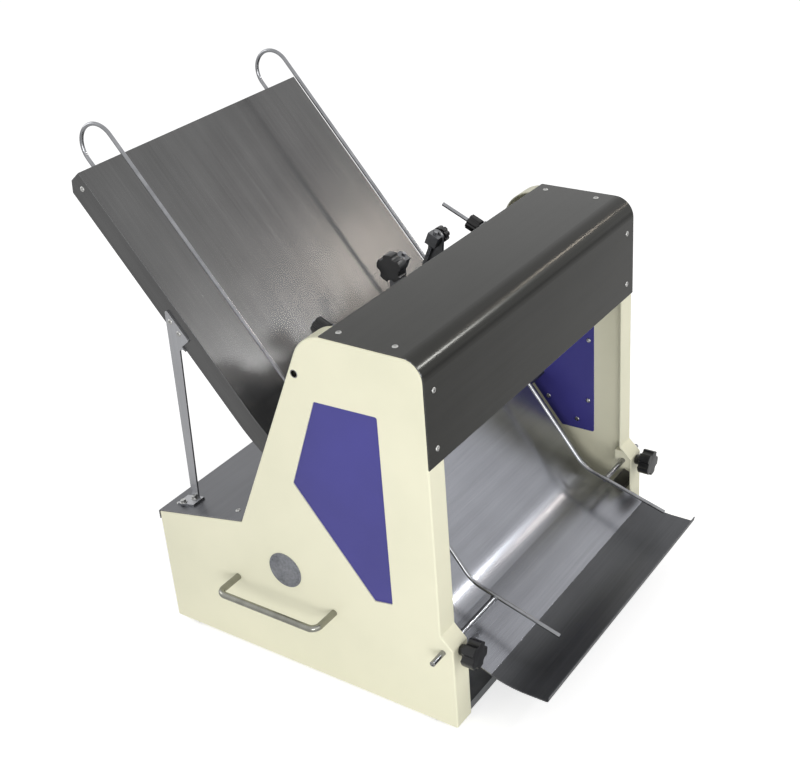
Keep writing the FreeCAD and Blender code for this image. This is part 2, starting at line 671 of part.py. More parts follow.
def catch_tray():
    top, knee, run = chute_line()
    under = (run[1], -run[0])
    start = along(meet(CHUTE_FOOT, run, (CATCH_START_Y, 0), (0, 1)), under, STEEL_SHEET)
    foot = along(CHUTE_FOOT, under, STEEL_SHEET)
    level = foot[1]
    line = [
        (start[0], start[1], 0),
        (foot[0], level, CHUTE_FOOT_RADIUS),
        (CATCH_END_Y, level, SHEET_BEND),
        (CATCH_END_Y - CATCH_LIP * 0.25, level + CATCH_LIP, 0),
    ]
    return folded(line, STEEL_SHEET, -CHUTE_HALF_WIDTH, CHUTE_HALF_WIDTH)


# ---- tie bars ----

def tie_bar(face_centre, slope):
    """Square bar between the side frames with its upper face on a sheet's underside."""
    way = heading(slope)
    down = (way[1], -way[0])
    half = TIE_SIZE / 2
    start = along(face_centre, way, -half)
    end = along(face_centre, way, half)
    low_end = along(end, down, TIE_SIZE)
    low_start = along(start, down, TIE_SIZE)
    corners = [start + (1.5,), end + (1.5,), low_end + (1.5,), low_start + (1.5,)]
    return plate(corners[::-1], -WEB_INNER, WEB_INNER)


def tie_bars():
    """Three bars between the side frames, and the chute with its flanges notched for two."""
    PARTS["tie_bar_top"] = tie_bar((TOP_TIE_Y, FRAME_HEIGHT - FRAME_SHEET), 0)
    top, knee, run = chute_line()
    steep = heading(CHUTE_SLOPE)
    spot = along(along(top, steep, -CHUTE_TIE_DOWN), (steep[1], -steep[0]), STEEL_SHEET)
    bar = tie_bar(spot, CHUTE_SLOPE)
    PARTS["tie_bar_chute"] = bar.cut(PARTS["window_panel_left"]).cut(PARTS["window_panel_right"])
    flat = math.degrees(math.atan2(run[1], run[0]))
    spot = along(meet(CHUTE_FOOT, run, (FRONT_TIE_Y, 0), (0, 1)), (run[1], -run[0]), STEEL_SHEET)
    PARTS["tie_bar_front"] = tie_bar(spot, flat)
    chute = discharge_chute()
    for name in ("tie_bar_chute", "tie_bar_front"):
        chute = chute.cut(PARTS[name])
    PARTS["discharge_chute"] = chute


# ---- handles ----

def carry_handle():
    """Left carry handle: a bent rod with a hexagon nut inside the side frame at each end."""
    inside = -WEB_INNER + HANDLE_NUT_DEPTH + HANDLE_END
    outside = -WEB_OUTER - HANDLE_REACH
    points = [
        Vector(inside, HANDLE_FRONT_Y, HANDLE_Z),
        Vector(outside, HANDLE_FRONT_Y, HANDLE_Z),
        Vector(outside, HANDLE_REAR_Y, HANDLE_Z),
        Vector(inside, HANDLE_REAR_Y, HANDLE_Z),
    ]
    handle = bent_rod(points, [HANDLE_BEND] * len(points), HANDLE_RADIUS)
    nuts = []
    for y in (HANDLE_FRONT_Y, HANDLE_REAR_Y):
        place = Vector(-WEB_INNER, y, HANDLE_Z)
        nuts.append(hexagon(HANDLE_NUT_RADIUS, HANDLE_NUT_DEPTH, place, Vector(1, 0, 0)))
    return handle.fuse(nuts).removeSplitter()


# ---- drive ----

def bearing_cap():
    cap = cylinder_x(CAP_RADIUS, -WEB_OUTER - CAP_DEPTH, -WEB_OUTER, *CRANK_AXIS)
    notch_y = CRANK_AXIS[0] + CAP_RADIUS
    notch = cylinder_x(3, -WEB_OUTER - CAP_DEPTH, -WEB_OUTER, notch_y, CRANK_AXIS[1])
    return cap.cut(notch)


def bearing():
    """Left flange bearing on the inside of the side frame."""
    inner = -WEB_INNER + BEARING_DEPTH
    flange = cylinder_x(BEARING_RADIUS, -WEB_INNER, -WEB_INNER + BEARING_DEPTH / 2, *CRANK_AXIS)
    boss = cylinder_x(BEARING_RADIUS * 0.7, -WEB_INNER, inner, *CRANK_AXIS)
    bore = cylinder_x(SHAFT_RADIUS + RUNNING_FIT, -WEB_INNER, inner, *CRANK_AXIS)
    return flange.fuse(boss).cut(bore).removeSplitter()


def crankshaft():
    """Shaft with two eccentrics at each end, set half a turn apart."""
    shaft = cylinder_x(SHAFT_RADIUS, -WEB_INNER + 1, WEB_INNER - 1, 0, 0)
    pieces = []
    for side in (-1, 1):
        for inner, offset in ((FRONT_ROD_INNER, -CRANK_THROW), (REAR_ROD_INNER, CRANK_THROW)):
            ends = sorted((side * inner, side * (inner + ROD_THICKNESS)))
            pieces.append(cylinder_x(ECCENTRIC_RADIUS, ends[0], ends[1], offset, 0))
        collar = sorted((side * (FRONT_ROD_INNER + ROD_THICKNESS), side * REAR_ROD_INNER))
        pieces.append(cylinder_x(SHAFT_RADIUS + 2, collar[0], collar[1], 0, 0))
    return tilted(shaft.fuse(pieces).removeSplitter())


def connecting_rod(inner, offset, pin_inward):
    """Right connecting rod: strap round its eccentric, neck, small end and wrist pin."""
    outer = inner + ROD_THICKNESS
    lateral = math.copysign(FRAME_OFFSET, offset)
    strap = cylinder_x(ECCENTRIC_RADIUS + STRAP_WALL, inner, outer, offset, 0)
    small = cylinder_x(SMALL_END_RADIUS, inner, outer, lateral, WRIST_HEIGHT)
    half = ROD_NECK / 2
    neck = plate(
        [(offset - half * 1.4, 0, 0), (offset + half * 1.4, 0, 0),
         (lateral + half, WRIST_HEIGHT, 0), (lateral - half, WRIST_HEIGHT, 0)], inner, outer)
    bore = cylinder_x(ECCENTRIC_RADIUS + RUNNING_FIT, inner, outer, offset, 0)
    rod = strap.fuse([small, neck]).cut(bore)
    if pin_inward:
        head = cylinder_x(SMALL_END_RADIUS * 0.6, outer, outer + 2, lateral, WRIST_HEIGHT)
    else:
        head = cylinder_x(SMALL_END_RADIUS * 0.6, inner - 2, inner, lateral, WRIST_HEIGHT)
    return tilted(rod.fuse(head).removeSplitter())


def pulley(radius, bore, hub_radius, y, z):
    """Grooved pulley about a line along X."""
    middle = PULLEY_INNER + PULLEY_WIDTH / 2
    top = BELT_TOP / 2 + BELT_PLAY
    low = BELT_BOTTOM / 2 + BELT_PLAY
    groove = radius - BELT_DEPTH - BELT_PLAY
    profile = [
        (PULLEY_INNER, bore), (PULLEY_INNER, radius), (middle - top, radius),
        (middle - low, groove), (middle + low, groove), (middle + top, radius),
        (PULLEY_INNER + PULLEY_WIDTH, radius), (PULLEY_INNER + PULLEY_WIDTH, bore),
    ]
    points = [Vector(x, y, z + r) for x, r in profile]
    wheel = Part.Face(Part.makePolygon(points + points[:1]))
    wheel = wheel.revolve(Vector(0, y, z), Vector(1, 0, 0), 360)
    hub_end = PULLEY_INNER + PULLEY_WIDTH + PULLEY_HUB
    hub = cylinder_x(hub_radius, PULLEY_INNER, hub_end, y, z)
    hole = cylinder_x(bore, PULLEY_INNER, hub_end, y, z)
    return wheel.fuse(hub.cut(hole)).removeSplitter()


def crank_pulley():
    """Large pulley, turned down to a thin web between its rim and its hub."""
    wheel = pulley(PULLEY_RADIUS, SHAFT_RADIUS, PULLEY_HUB_RADIUS, *CRANK_AXIS)
    rim = PULLEY_RADIUS - BELT_DEPTH - PULLEY_RIM
    depth = (PULLEY_WIDTH - PULLEY_WEB) / 2
    for start in (PULLEY_INNER, PULLEY_INNER + PULLEY_WIDTH - depth):
        recess = cylinder_x(rim, start, start + depth, *CRANK_AXIS)
        hub = cylinder_x(PULLEY_HUB_RADIUS, start, start + depth, *CRANK_AXIS)
        wheel = wheel.cut(recess.cut(hub))
    return wheel


def motor_pulley():
    """Small pulley with the motor shaft that carries it."""
    wheel = pulley(MOTOR_PULLEY_RADIUS, MOTOR_SHAFT_RADIUS, MOTOR_SHAFT_RADIUS * 1.8, *MOTOR_AXIS)
    shaft = cylinder_x(
        MOTOR_SHAFT_RADIUS, MOTOR_OUTER - MOTOR_SHAFT_DEPTH,
        PULLEY_INNER + PULLEY_WIDTH + PULLEY_HUB, *MOTOR_AXIS)
    return wheel.fuse(shaft).removeSplitter()


def v_belt():
    """Belt round both pulleys: tapered section along two straight runs and two arcs."""
    apart = math.hypot(MOTOR_AXIS[0] - CRANK_AXIS[0], MOTOR_AXIS[1] - CRANK_AXIS[1])
    line = math.atan2(MOTOR_AXIS[1] - CRANK_AXIS[1], MOTOR_AXIS[0] - CRANK_AXIS[0])
    spread = math.acos((PULLEY_RADIUS - MOTOR_PULLEY_RADIUS) / apart)
    middle = PULLEY_INNER + PULLEY_WIDTH / 2

    def on_pulley(centre, radius, angle):
        y = centre[0] + radius * math.cos(angle)
        return Vector(middle, y, centre[1] + radius * math.sin(angle))

    def loop(inset, half_width):
        big = PULLEY_RADIUS - inset
        small = MOTOR_PULLEY_RADIUS - inset
        upper = on_pulley(CRANK_AXIS, big, line + spread)
        lower = on_pulley(CRANK_AXIS, big, line - spread)
        motor_upper = on_pulley(MOTOR_AXIS, small, line + spread)
        motor_lower = on_pulley(MOTOR_AXIS, small, line - spread)
        far = on_pulley(CRANK_AXIS, big, line + math.pi)
        near = on_pulley(MOTOR_AXIS, small, line)
        wire = Part.Wire([
            Part.Arc(lower, far, upper).toShape(),
            Part.makeLine(upper, motor_upper),
            Part.Arc(motor_upper, near, motor_lower).toShape(),
            Part.makeLine(motor_lower, lower),
        ])
        wire.translate(Vector(half_width, 0, 0))
        return wire

    top = BELT_TOP / 2
    low = BELT_BOTTOM / 2
    outer = Part.makeLoft([loop(0, -top), loop(0, top)], True, True)
    inner = Part.makeLoft([loop(BELT_DEPTH, -top), loop(BELT_DEPTH, top)], True, True)
    belt = outer.cut(inner)
    for side in (-1, 1):
        taper = Part.makeLoft([loop(BELT_DEPTH, side * low), loop(0, side * top)], True, True)
        belt = belt.cut(taper)
    return belt


def motor():
    """Motor: body, fan cover and end bell on two feet, with a terminal box on top."""
    y, z = MOTOR_AXIS
    body_start = MOTOR_INNER + MOTOR_FAN_DEPTH
    body_end = MOTOR_OUTER - MOTOR_BELL_DEPTH
    body = cylinder_x(MOTOR_RADIUS, body_start, body_end, y, z)
    fan = cylinder_x(MOTOR_RADIUS * 0.93, MOTOR_INNER, body_start, y, z)
    bell = Part.makeCone(
        MOTOR_RADIUS * 0.95, MOTOR_RADIUS * 0.7, MOTOR_BELL_DEPTH,
        Vector(body_end, y, z), Vector(1, 0, 0))
    pieces = [fan, bell]
    half = MOTOR_FOOT_SPAN / 2
    for x in (body_start + MOTOR_FOOT_WIDTH, body_end - 2 * MOTOR_FOOT_WIDTH):
        foot = box(x, x + MOTOR_FOOT_WIDTH, y - half, y + half, bracket_top(), z - MOTOR_RADIUS / 2)
        pieces.append(foot)
    length, width, height = TERMINAL_BOX
    middle = (body_start + body_end) / 2
    pieces.append(box(
        middle - length / 2, middle + length / 2, y - width / 2, y + width / 2,
        z + MOTOR_RADIUS * 0.75, z + MOTOR_RADIUS * 0.75 + height))
    hole = cylinder_x(
        MOTOR_SHAFT_RADIUS + RUNNING_FIT, MOTOR_OUTER - MOTOR_SHAFT_DEPTH - OPEN_GAP,
        MOTOR_OUTER, y, z)
    return body.fuse(pieces).cut(hole).removeSplitter()


def bracket_top():
    return FRAME_SHEET + STEEL_SHEET + BRACKET_HEIGHT


def motor_bracket():
    """Folded bracket between the base plate and the motor's feet."""
    low = FRAME_SHEET + STEEL_SHEET
    under = bracket_top() - BRACKET_SHEET
    half = MOTOR_FOOT_SPAN / 2 + BRACKET_SHEET
    front = MOTOR_AXIS[0] - half
    rear = MOTOR_AXIS[0] + half
    line = [
        (front - BRACKET_FLANGE, low, 0), (front, low, 0), (front, under, 0),
        (rear, under, 0), (rear, low, 0), (rear + BRACKET_FLANGE, low, 0),
    ]
    start = MOTOR_INNER + MOTOR_FAN_DEPTH
    return folded(line, BRACKET_SHEET, start, MOTOR_OUTER - MOTOR_BELL_DEPTH)


# ---- blade frames ----

def blade_places(first):
    """X of each blade of one frame; the two frames' blades alternate."""
    middle = (BLADE_COUNT - 1) / 2
    return [(i - middle) * BLADE_PITCH for i in range(first, BLADE_COUNT, 2)]


def blade_frame(offset, first):
    """Two stiles and two bars, with a saw slot for each blade end in the bars."""
    near = offset - BAR_THICKNESS / 2
    far = offset + BAR_THICKNESS / 2
    low_top = BAR_LOW + BAR_HEIGHT
    high_low = BAR_HIGH - BAR_HEIGHT
    pieces = [box(-STILE_INNER, STILE_INNER, near, far, high_low, BAR_HIGH)]
    for side in (-1, 1):
        ends = sorted((side * STILE_INNER, side * STILE_OUTER))
        pieces.append(box(ends[0], ends[1], near, far, BAR_LOW, BAR_HIGH))
        if offset < 0:
            reach = FRONT_ROD_INNER - OPEN_GAP
            lug = sorted((side * (reach - LUG_THICKNESS), side * reach))
        else:
            reach = REAR_ROD_INNER + ROD_THICKNESS + OPEN_GAP
            lug = sorted((side * reach, side * (reach + LUG_THICKNESS)))
        lug_low = WRIST_HEIGHT - SMALL_END_RADIUS
        pieces.append(box(lug[0], lug[1], near, far, lug_low, BAR_LOW))
    frame = box(-STILE_INNER, STILE_INNER, near, far, BAR_LOW, low_top).fuse(pieces).removeSplitter()
    slots = []
    half = BLADE_THICKNESS / 2 + BLADE_SLOT_PLAY
    for x in blade_places(first):
        slots.append(box(x - half, x + half, near, far, low_top - BLADE_SEAT, low_top))
        slots.append(box(x - half, x + half, near, far, high_low, high_low + BLADE_SEAT))
    return tilted(frame.cut(Part.makeCompound(slots)))


def blade(offset):
    """One blade at X = 0: straight back, serrated edge towards the loaf."""
    back = offset - BLADE_WIDTH / 2
    edge = offset + BLADE_WIDTH / 2
    low = BAR_LOW + BAR_HEIGHT - BLADE_SEAT
    high = BAR_HIGH - BAR_HEIGHT + BLADE_SEAT
    start = low + BLADE_SEAT
    teeth = int((high - BLADE_SEAT - start) / TOOTH_PITCH)
    points = [(back, low), (edge - TOOTH_DEPTH, low), (edge - TOOTH_DEPTH, start)]
    for i in range(teeth):
        foot = start + i * TOOTH_PITCH
        points.append((edge, foot + TOOTH_PITCH / 2))
        points.append((edge - TOOTH_DEPTH, foot + TOOTH_PITCH))
    points += [(edge - TOOTH_DEPTH, high), (back, high)]
    left = -BLADE_THICKNESS / 2
    return plate([(u, s, 0) for u, s in points], left, -left)


def blades(offset, first):
    one = blade(offset)
    copies = []
    for x in blade_places(first):
        copy = one.copy()
        copy.translate(Vector(x, 0, 0))
        copies.append(copy)
    return tilted(Part.makeCompound(copies))


def blade_guide():
    """Left guide: back plate with three ribs for the stiles, recessed over the window panel."""
    half = BAR_THICKNESS / 2 + SLIDE_PLAY
    front_far = -FRAME_OFFSET - half
    front_near = -FRAME_OFFSET + half
    back = -WEB_INNER
    floor = -WEB_INNER + GUIDE_BACK
    tip = -GUIDE_INNER
    section = [
        (back, front_far - GUIDE_RIB), (tip, front_far - GUIDE_RIB), (tip, front_far),
        (floor, front_far), (floor, front_near), (tip, front_near), (tip, -front_near),
        (floor, -front_near), (floor, -front_far), (tip, -front_far),
        (tip, GUIDE_RIB - front_far), (back, GUIDE_RIB - front_far),
    ]
    points = [Vector(x, u, GUIDE_LOW) for x, u in section]
    face = Part.Face(Part.makePolygon(points + points[:1]))
    guide = tilted(face.extrude(Vector(0, 0, GUIDE_HIGH - GUIDE_LOW)))
    return guide.cut(window_panel())


# ---- discharge guides ----

def front_clamp():
    """Left block behind the front flange, bored for the guide rod and the knob's stud."""
    front = FRAME_SHEET
    rear = front + CLAMP_BLOCK_DEPTH
    low = GUIDE_ROD[1] - CLAMP_BLOCK_UNDER
    high = STEP_HEIGHT - UPPER_FRONT - FRAME_SHEET - CLAMP_BLOCK_GAP
    rise = CLAMP_BLOCK_DEPTH - CLAMP_BLOCK_CHAMFER
    corners = [
        (front, low, 0), (rear, low, CLAMP_BLOCK_EDGE), (rear, high + rise, CLAMP_BLOCK_EDGE),
        (front + rise, high + rise, 0), (front, high, 0),
    ]
    inner = -FLANGE_INNER - CLAMP_BLOCK_INSET
    block = plate(corners, -WEB_INNER, inner)
    rod = cylinder_x(GUIDE_ROD_RADIUS + RUNNING_FIT, -WEB_INNER, inner, *GUIDE_ROD)
    stud = cylinder_y(STUD_RADIUS + RUNNING_FIT, front, GUIDE_ROD[0], -FRONT_KNOB_X, GUIDE_ROD[1])
    return block.cut(rod).cut(stud)


def discharge_guide(wire_x, rod_end):
    """Bent wire above the chute, welded to the end of its round rod."""
    points = [
        Vector(wire_x, WIRE_TIP[0], WIRE_TIP[1]),
        Vector(wire_x, WIRE_KNEE[0], WIRE_KNEE[1]),
        Vector(wire_x, WIRE_TOP[0], WIRE_TOP[1]),
    ]
    wire = bent_rod(points, [WIRE_BEND] * len(points), GUIDE_WIRE_RADIUS)
    ends = sorted((wire_x, rod_end))
    rod = cylinder_x(GUIDE_ROD_RADIUS, ends[0], ends[1], *GUIDE_ROD)
    return wire.fuse(rod).removeSplitter()


def front_knob():
    """Left star knob with its hub and stud, turning about Y."""
    gap = 1.0
    hub_back = -gap
    hub_front = hub_back - KNOB_HUB_DEPTH
    grip = star(KNOB_RADIUS, KNOB_LOBES, KNOB_DEPTH)
    grip.rotate(Vector(0, 0, 0), Vector(1, 0, 0), 90)
    grip.translate(Vector(-FRONT_KNOB_X, hub_front, GUIDE_ROD[1]))
    hub = cylinder_y(KNOB_HUB_RADIUS, hub_front, hub_back, -FRONT_KNOB_X, GUIDE_ROD[1])
    tip = GUIDE_ROD[0] - GUIDE_ROD_RADIUS - OPEN_GAP
    stud = cylinder_y(STUD_RADIUS, hub_front, tip, -FRONT_KNOB_X, GUIDE_ROD[1])
    return grip.fuse([hub, stud]).removeSplitter()


# ---- cross rod, loading guides and hold-down ----

def cross_rod():
    rod = cylinder_x(CROSS_ROD_RADIUS, -WEB_OUTER, WEB_OUTER, *CROSS_ROD)
    for x in (-WEB_OUTER, WEB_OUTER - 12):
        rod = rod.cut(cylinder_x(CROSS_ROD_BORE, x, x + 12, *CROSS_ROD))
    return tilted(rod)


def guide_clamp(x):
    """Block on the cross rod that carries the lower end of a loading guide."""
    block = box(
        x - CLAMP_HALF_WIDTH, x + CLAMP_HALF_WIDTH, CLAMP_FRONT, CLAMP_REAR, CLAMP_LOW, CLAMP_HIGH)
    upright = [edge for edge in block.Edges if abs(edge.tangentAt(edge.FirstParameter).x) > 0.9]
    block = block.makeFillet(3, upright)
    radius = CROSS_ROD_RADIUS + RUNNING_FIT
    bore = cylinder_x(radius, x - CLAMP_HALF_WIDTH, x + CLAMP_HALF_WIDTH, *CROSS_ROD)
    tail = cylinder_y(GUIDE_WIRE_RADIUS, CLAMP_FRONT, CLAMP_REAR, x, GUIDE_TAIL_S)
    return tilted(block.cut(bore).cut(tail))


def loading_guide(x, tail_end):
    """Wire hooked over the tray's upper end, along the tray, up and back to its clamp."""
    slope = heading(TRAY_SLOPE)
    above = (-slope[1], slope[0])
    bend = (GUIDE_HEIGHT + LOOP_UNDER) / 2
    top = along(along(TRAY_TOP, above, GUIDE_HEIGHT), slope, LOOP_REACH)
    hook = along(along(TRAY_TOP, above, -LOOP_UNDER), slope, LOOP_REACH)
    leg = along(hook, slope, -LOOP_REACH - LOOP_LEG)
    turn = meet(top, slope, tilted_point(GUIDE_TURN_U, 0), heading(180 - BLADE_LEAN))
    rise = tilted_point(GUIDE_TURN_U, GUIDE_TAIL_S)
    end = tilted_point(tail_end, GUIDE_TAIL_S)
    corners = [leg, hook, top, turn, rise, end]
    points = [Vector(x, y, z) for y, z in corners]
    bends = [0, bend, bend, GUIDE_TURN_BEND, GUIDE_TURN_BEND, 0]
    return bent_rod(points, bends, GUIDE_WIRE_RADIUS)


def guide_nut(x):
    """Thumb nut on the wire's tail, behind the clamp."""
    nut = star(NUT_RADIUS, NUT_FLUTES, NUT_DEPTH, GUIDE_WIRE_RADIUS + RUNNING_FIT)
    nut.rotate(Vector(0, 0, 0), Vector(1, 0, 0), -90)
    nut.translate(Vector(x, CLAMP_REAR + OPEN_GAP, GUIDE_TAIL_S))
    return tilted(nut)


def holddown_arm():
    """Left arm on the cross rod, with the block that holds the hold-down wire."""
    outer = -ARM_INNER - ARM_THICKNESS
    eyes = []
    for y, z in (CROSS_ROD, HOLD_KNOB):
        eyes.append(cylinder_x(ARM_EYE_RADIUS, outer, -ARM_INNER, y, z))
    way = direction(CROSS_ROD, HOLD_KNOB)
    side = (-way[1], way[0])
    strip = []
    for place, reach in ((CROSS_ROD, -1), (CROSS_ROD, 1), (HOLD_KNOB, 1), (HOLD_KNOB, -1)):
        strip.append(along(place, side, reach * ARM_EYE_RADIUS) + (0,))
    arm = eyes[0].fuse([eyes[1], plate(strip, outer, -ARM_INNER)])
    half = HOLD_BLOCK_HALF
    block = box(
        -ARM_INNER, -ARM_INNER + HOLD_BLOCK_WIDTH, HOLD_KNOB[0] - half, HOLD_KNOB[0] + half,
        HOLD_KNOB[1] - half, HOLD_KNOB[1] + half)
    arm = arm.fuse(block).removeSplitter()
    rod = cylinder_x(CROSS_ROD_RADIUS, outer, -ARM_INNER, *CROSS_ROD)
    leg = cylinder_z(
        HOLD_WIRE_RADIUS + RUNNING_FIT, HOLD_KNOB[1] - half, HOLD_KNOB[1] + half,
        -HOLD_WIRE_X, HOLD_KNOB[0])
    stud = cylinder_x(STUD_RADIUS + RUNNING_FIT, outer, -HOLD_WIRE_X, *HOLD_KNOB)
    return tilted(arm.cut(rod).cut(leg).cut(stud))


def holddown_knob(grip):
    """Left grip outside its arm, turning about X; its stud presses on the hold-down wire."""
    face = -ARM_INNER - ARM_THICKNESS - OPEN_GAP
    hub_end = face - HOLD_HUB_DEPTH
    grip.rotate(Vector(0, 0, 0), Vector(0, 1, 0), -90)
    grip.translate(Vector(hub_end, HOLD_KNOB[0], HOLD_KNOB[1]))
    hub = cylinder_x(HOLD_HUB_RADIUS, hub_end, face, *HOLD_KNOB)
    tip = -HOLD_WIRE_X - HOLD_WIRE_RADIUS - OPEN_GAP
    stud = cylinder_x(STUD_RADIUS, hub_end, tip, *HOLD_KNOB)
    return tilted(grip.fuse([hub, stud]).removeSplitter())


def holddown_wire():
    """U-shaped wire: two legs through the blocks, toes towards the blades, cross bar."""
    behind = HOLD_KNOB[0]
    top = HOLD_KNOB[1] + HOLD_BLOCK_HALF + HOLD_WIRE_OVER
    points = [
        Vector(-HOLD_WIRE_X, behind, top),
        Vector(-HOLD_WIRE_X, behind, HOLD_WIRE_LOW),
        Vector(-HOLD_WIRE_X, HOLD_WIRE_TOE, HOLD_WIRE_LOW),
        Vector(HOLD_WIRE_X, HOLD_WIRE_TOE, HOLD_WIRE_LOW),
        Vector(HOLD_WIRE_X, behind, HOLD_WIRE_LOW),
        Vector(HOLD_WIRE_X, behind, top),
    ]
    return tilted(bent_rod(points, [HOLD_WIRE_BEND] * len(points), HOLD_WIRE_RADIUS))


# ---- the whole machine ----

def build():
    pair("side_frame", side_frame())
    pair("window_panel", window_panel())
    PARTS["top_cover"] = top_cover()
    PARTS["loading_tray"] = loading_tray()
    pair("tray_strut", tray_strut())
    PARTS["rear_shelf"] = rear_shelf()
    PARTS["rear_panel"] = rear_panel()
    PARTS["cable_gland"] = cable_gland()
    PARTS["base_plate"] = base_plate()
    PARTS["rubber_feet"] = rubber_feet()
    PARTS["catch_tray"] = catch_tray()
    tie_bars()
    PARTS["tray_rod"] = cylinder_x(TRAY_ROD_RADIUS, -WEB_INNER, WEB_INNER, *tray_rod_place())
    pair("carry_handle", carry_handle())
    pair("bearing_cap", bearing_cap())
    pair("bearing", bearing())
    PARTS["crankshaft"] = crankshaft()
    PARTS["crank_pulley"] = crank_pulley()
    PARTS["motor_pulley"] = motor_pulley()
    PARTS["v_belt"] = v_belt()
    PARTS["motor"] = motor()
    PARTS["motor_bracket"] = motor_bracket()
    for name, offset, first in (("front", -FRAME_OFFSET, 0), ("rear", FRAME_OFFSET, 1)):
        PARTS["blade_frame_" + name] = blade_frame(offset, first)
        PARTS["blades_" + name] = blades(offset, first)
    front_rod = connecting_rod(FRONT_ROD_INNER, -CRANK_THROW, True)
    rear_rod = connecting_rod(REAR_ROD_INNER, CRANK_THROW, False)
    for name, rod in (("front", front_rod), ("rear", rear_rod)):
        PARTS["con_rod_" + name + "_right"] = rod
        PARTS["con_rod_" + name + "_left"] = mirrored(rod)
    pair("blade_guide", blade_guide())
    pair("front_clamp", front_clamp())
    PARTS["discharge_guide_left"] = discharge_guide(LEFT_WIRE_X, LEFT_ROD_END)
    PARTS["discharge_guide_right"] = discharge_guide(RIGHT_WIRE_X, RIGHT_ROD_END)
    pair("front_knob", front_knob())
    PARTS["cross_rod"] = cross_rod()
    guides = (("left", LEFT_GUIDE_X, LEFT_TAIL_END), ("right", RIGHT_GUIDE_X, RIGHT_TAIL_END))
    for side, x, tail_end in guides:
        PARTS["guide_clamp_" + side] = guide_clamp(x)
        PARTS["loading_guide_" + side] = loading_guide(x, tail_end)
        PARTS["guide_nut_" + side] = guide_nut(x)
    pair("holddown_arm", holddown_arm())
    PARTS["holddown_knob_left"] = holddown_knob(star(KNOB_RADIUS, KNOB_LOBES, HOLD_STAR_DEPTH))
    nut = star(NUT_RADIUS, NUT_FLUTES, HOLD_NUT_DEPTH)
    PARTS["holddown_knob_right"] = mirrored(holddown_knob(nut))
    PARTS["holddown_wire"] = holddown_wire()


build()
whole = Part.makeCompound(list(PARTS.values())).optimalBoundingBox(False, False)
to_origin = Vector(0, -(whole.YMin + whole.YMax) / 2, FOOT_HEIGHT)
os.makedirs("parts", exist_ok=True)
for name, shape in PARTS.items():
    shape.translate(to_origin)
    shape.exportStep("parts/" + name + ".step")
print("moved by", round(to_origin.y, 3), round(to_origin.z, 3), "pieces", len(PARTS))
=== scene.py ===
import math
import bpy
from bpy.props import FloatProperty, FloatVectorProperty, IntProperty, PointerProperty
from mathutils import Euler, Matrix, Vector


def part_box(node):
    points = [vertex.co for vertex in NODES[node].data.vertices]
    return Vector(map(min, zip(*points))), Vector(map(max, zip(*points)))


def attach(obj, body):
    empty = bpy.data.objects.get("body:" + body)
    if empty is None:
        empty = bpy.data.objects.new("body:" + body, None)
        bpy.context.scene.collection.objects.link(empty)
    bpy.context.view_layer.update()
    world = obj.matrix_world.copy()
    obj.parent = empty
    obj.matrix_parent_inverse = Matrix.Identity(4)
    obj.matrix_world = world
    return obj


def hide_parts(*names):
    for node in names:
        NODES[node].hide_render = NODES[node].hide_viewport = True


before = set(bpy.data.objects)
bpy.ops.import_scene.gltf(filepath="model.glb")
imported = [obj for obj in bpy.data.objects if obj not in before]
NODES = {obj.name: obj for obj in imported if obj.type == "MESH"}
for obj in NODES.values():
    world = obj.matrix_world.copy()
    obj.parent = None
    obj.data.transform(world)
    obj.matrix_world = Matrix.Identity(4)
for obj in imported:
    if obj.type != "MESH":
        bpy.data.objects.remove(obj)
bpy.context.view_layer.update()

bl_info = {
    "name": "Bread slicer finish",
    "version": (1, 0, 0),
    "blender": (4, 5, 0),
    "location": "3D View > Sidebar > Bread slicer",
    "description": "Finishes, fasteners, grips, camera and lights of a table-top bread slicer",
    "category": "Object",
}

# The front foot and the bottom edge of the side frames, in metres.
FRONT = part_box("side_frame_right")[0][1]
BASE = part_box("side_frame_right")[0][2]
UP = Vector((0.0, 0.0, 1.0))
AHEAD = Vector((0.0, -1.0, 0.0))
LEFT = Vector((-1.0, 0.0, 0.0))
RIGHT = Vector((1.0, 0.0, 0.0))
SIDES = (("left", LEFT), ("right", RIGHT))

# Angles of the blades and of the loading tray off the vertical.
BLADE_LEAN = math.radians(24)
TRAY_LEAN = math.radians(39.4)

# Places on the machine in millimetres, as at() takes them.
GUIDE_ROD = (16.0, 127.5)  # Y and Z of the discharge guides' rods
FRONT_KNOB = (268.0, -1.0)  # X and Y of the front grips, at the rear faces of their hubs
HOLD_KNOB = (211.8, 560.8)  # Y and Z of the hold-down's grips
LEDGE_END = (515.0, 195.0)  # Y and Z of the rear end of the side frames' sloping ledge
LEDGE_RISE = 0.2061  # rise of that ledge per length towards the front
LEDGE_NORMAL = Vector((0.0, 0.2018, 0.9794))
SHELF_SHEET = 1.53  # the rear shelf's sheet on the ledge, measured upright
STRUT_FOOT = 3.06  # a tray strut's foot on that sheet, measured upright

# X, outward, and Y of the hexagon bolts of one strut's foot, in millimetres.
STRUT_BOLTS = ((262.5, 485.3), (248.4, 475.8))

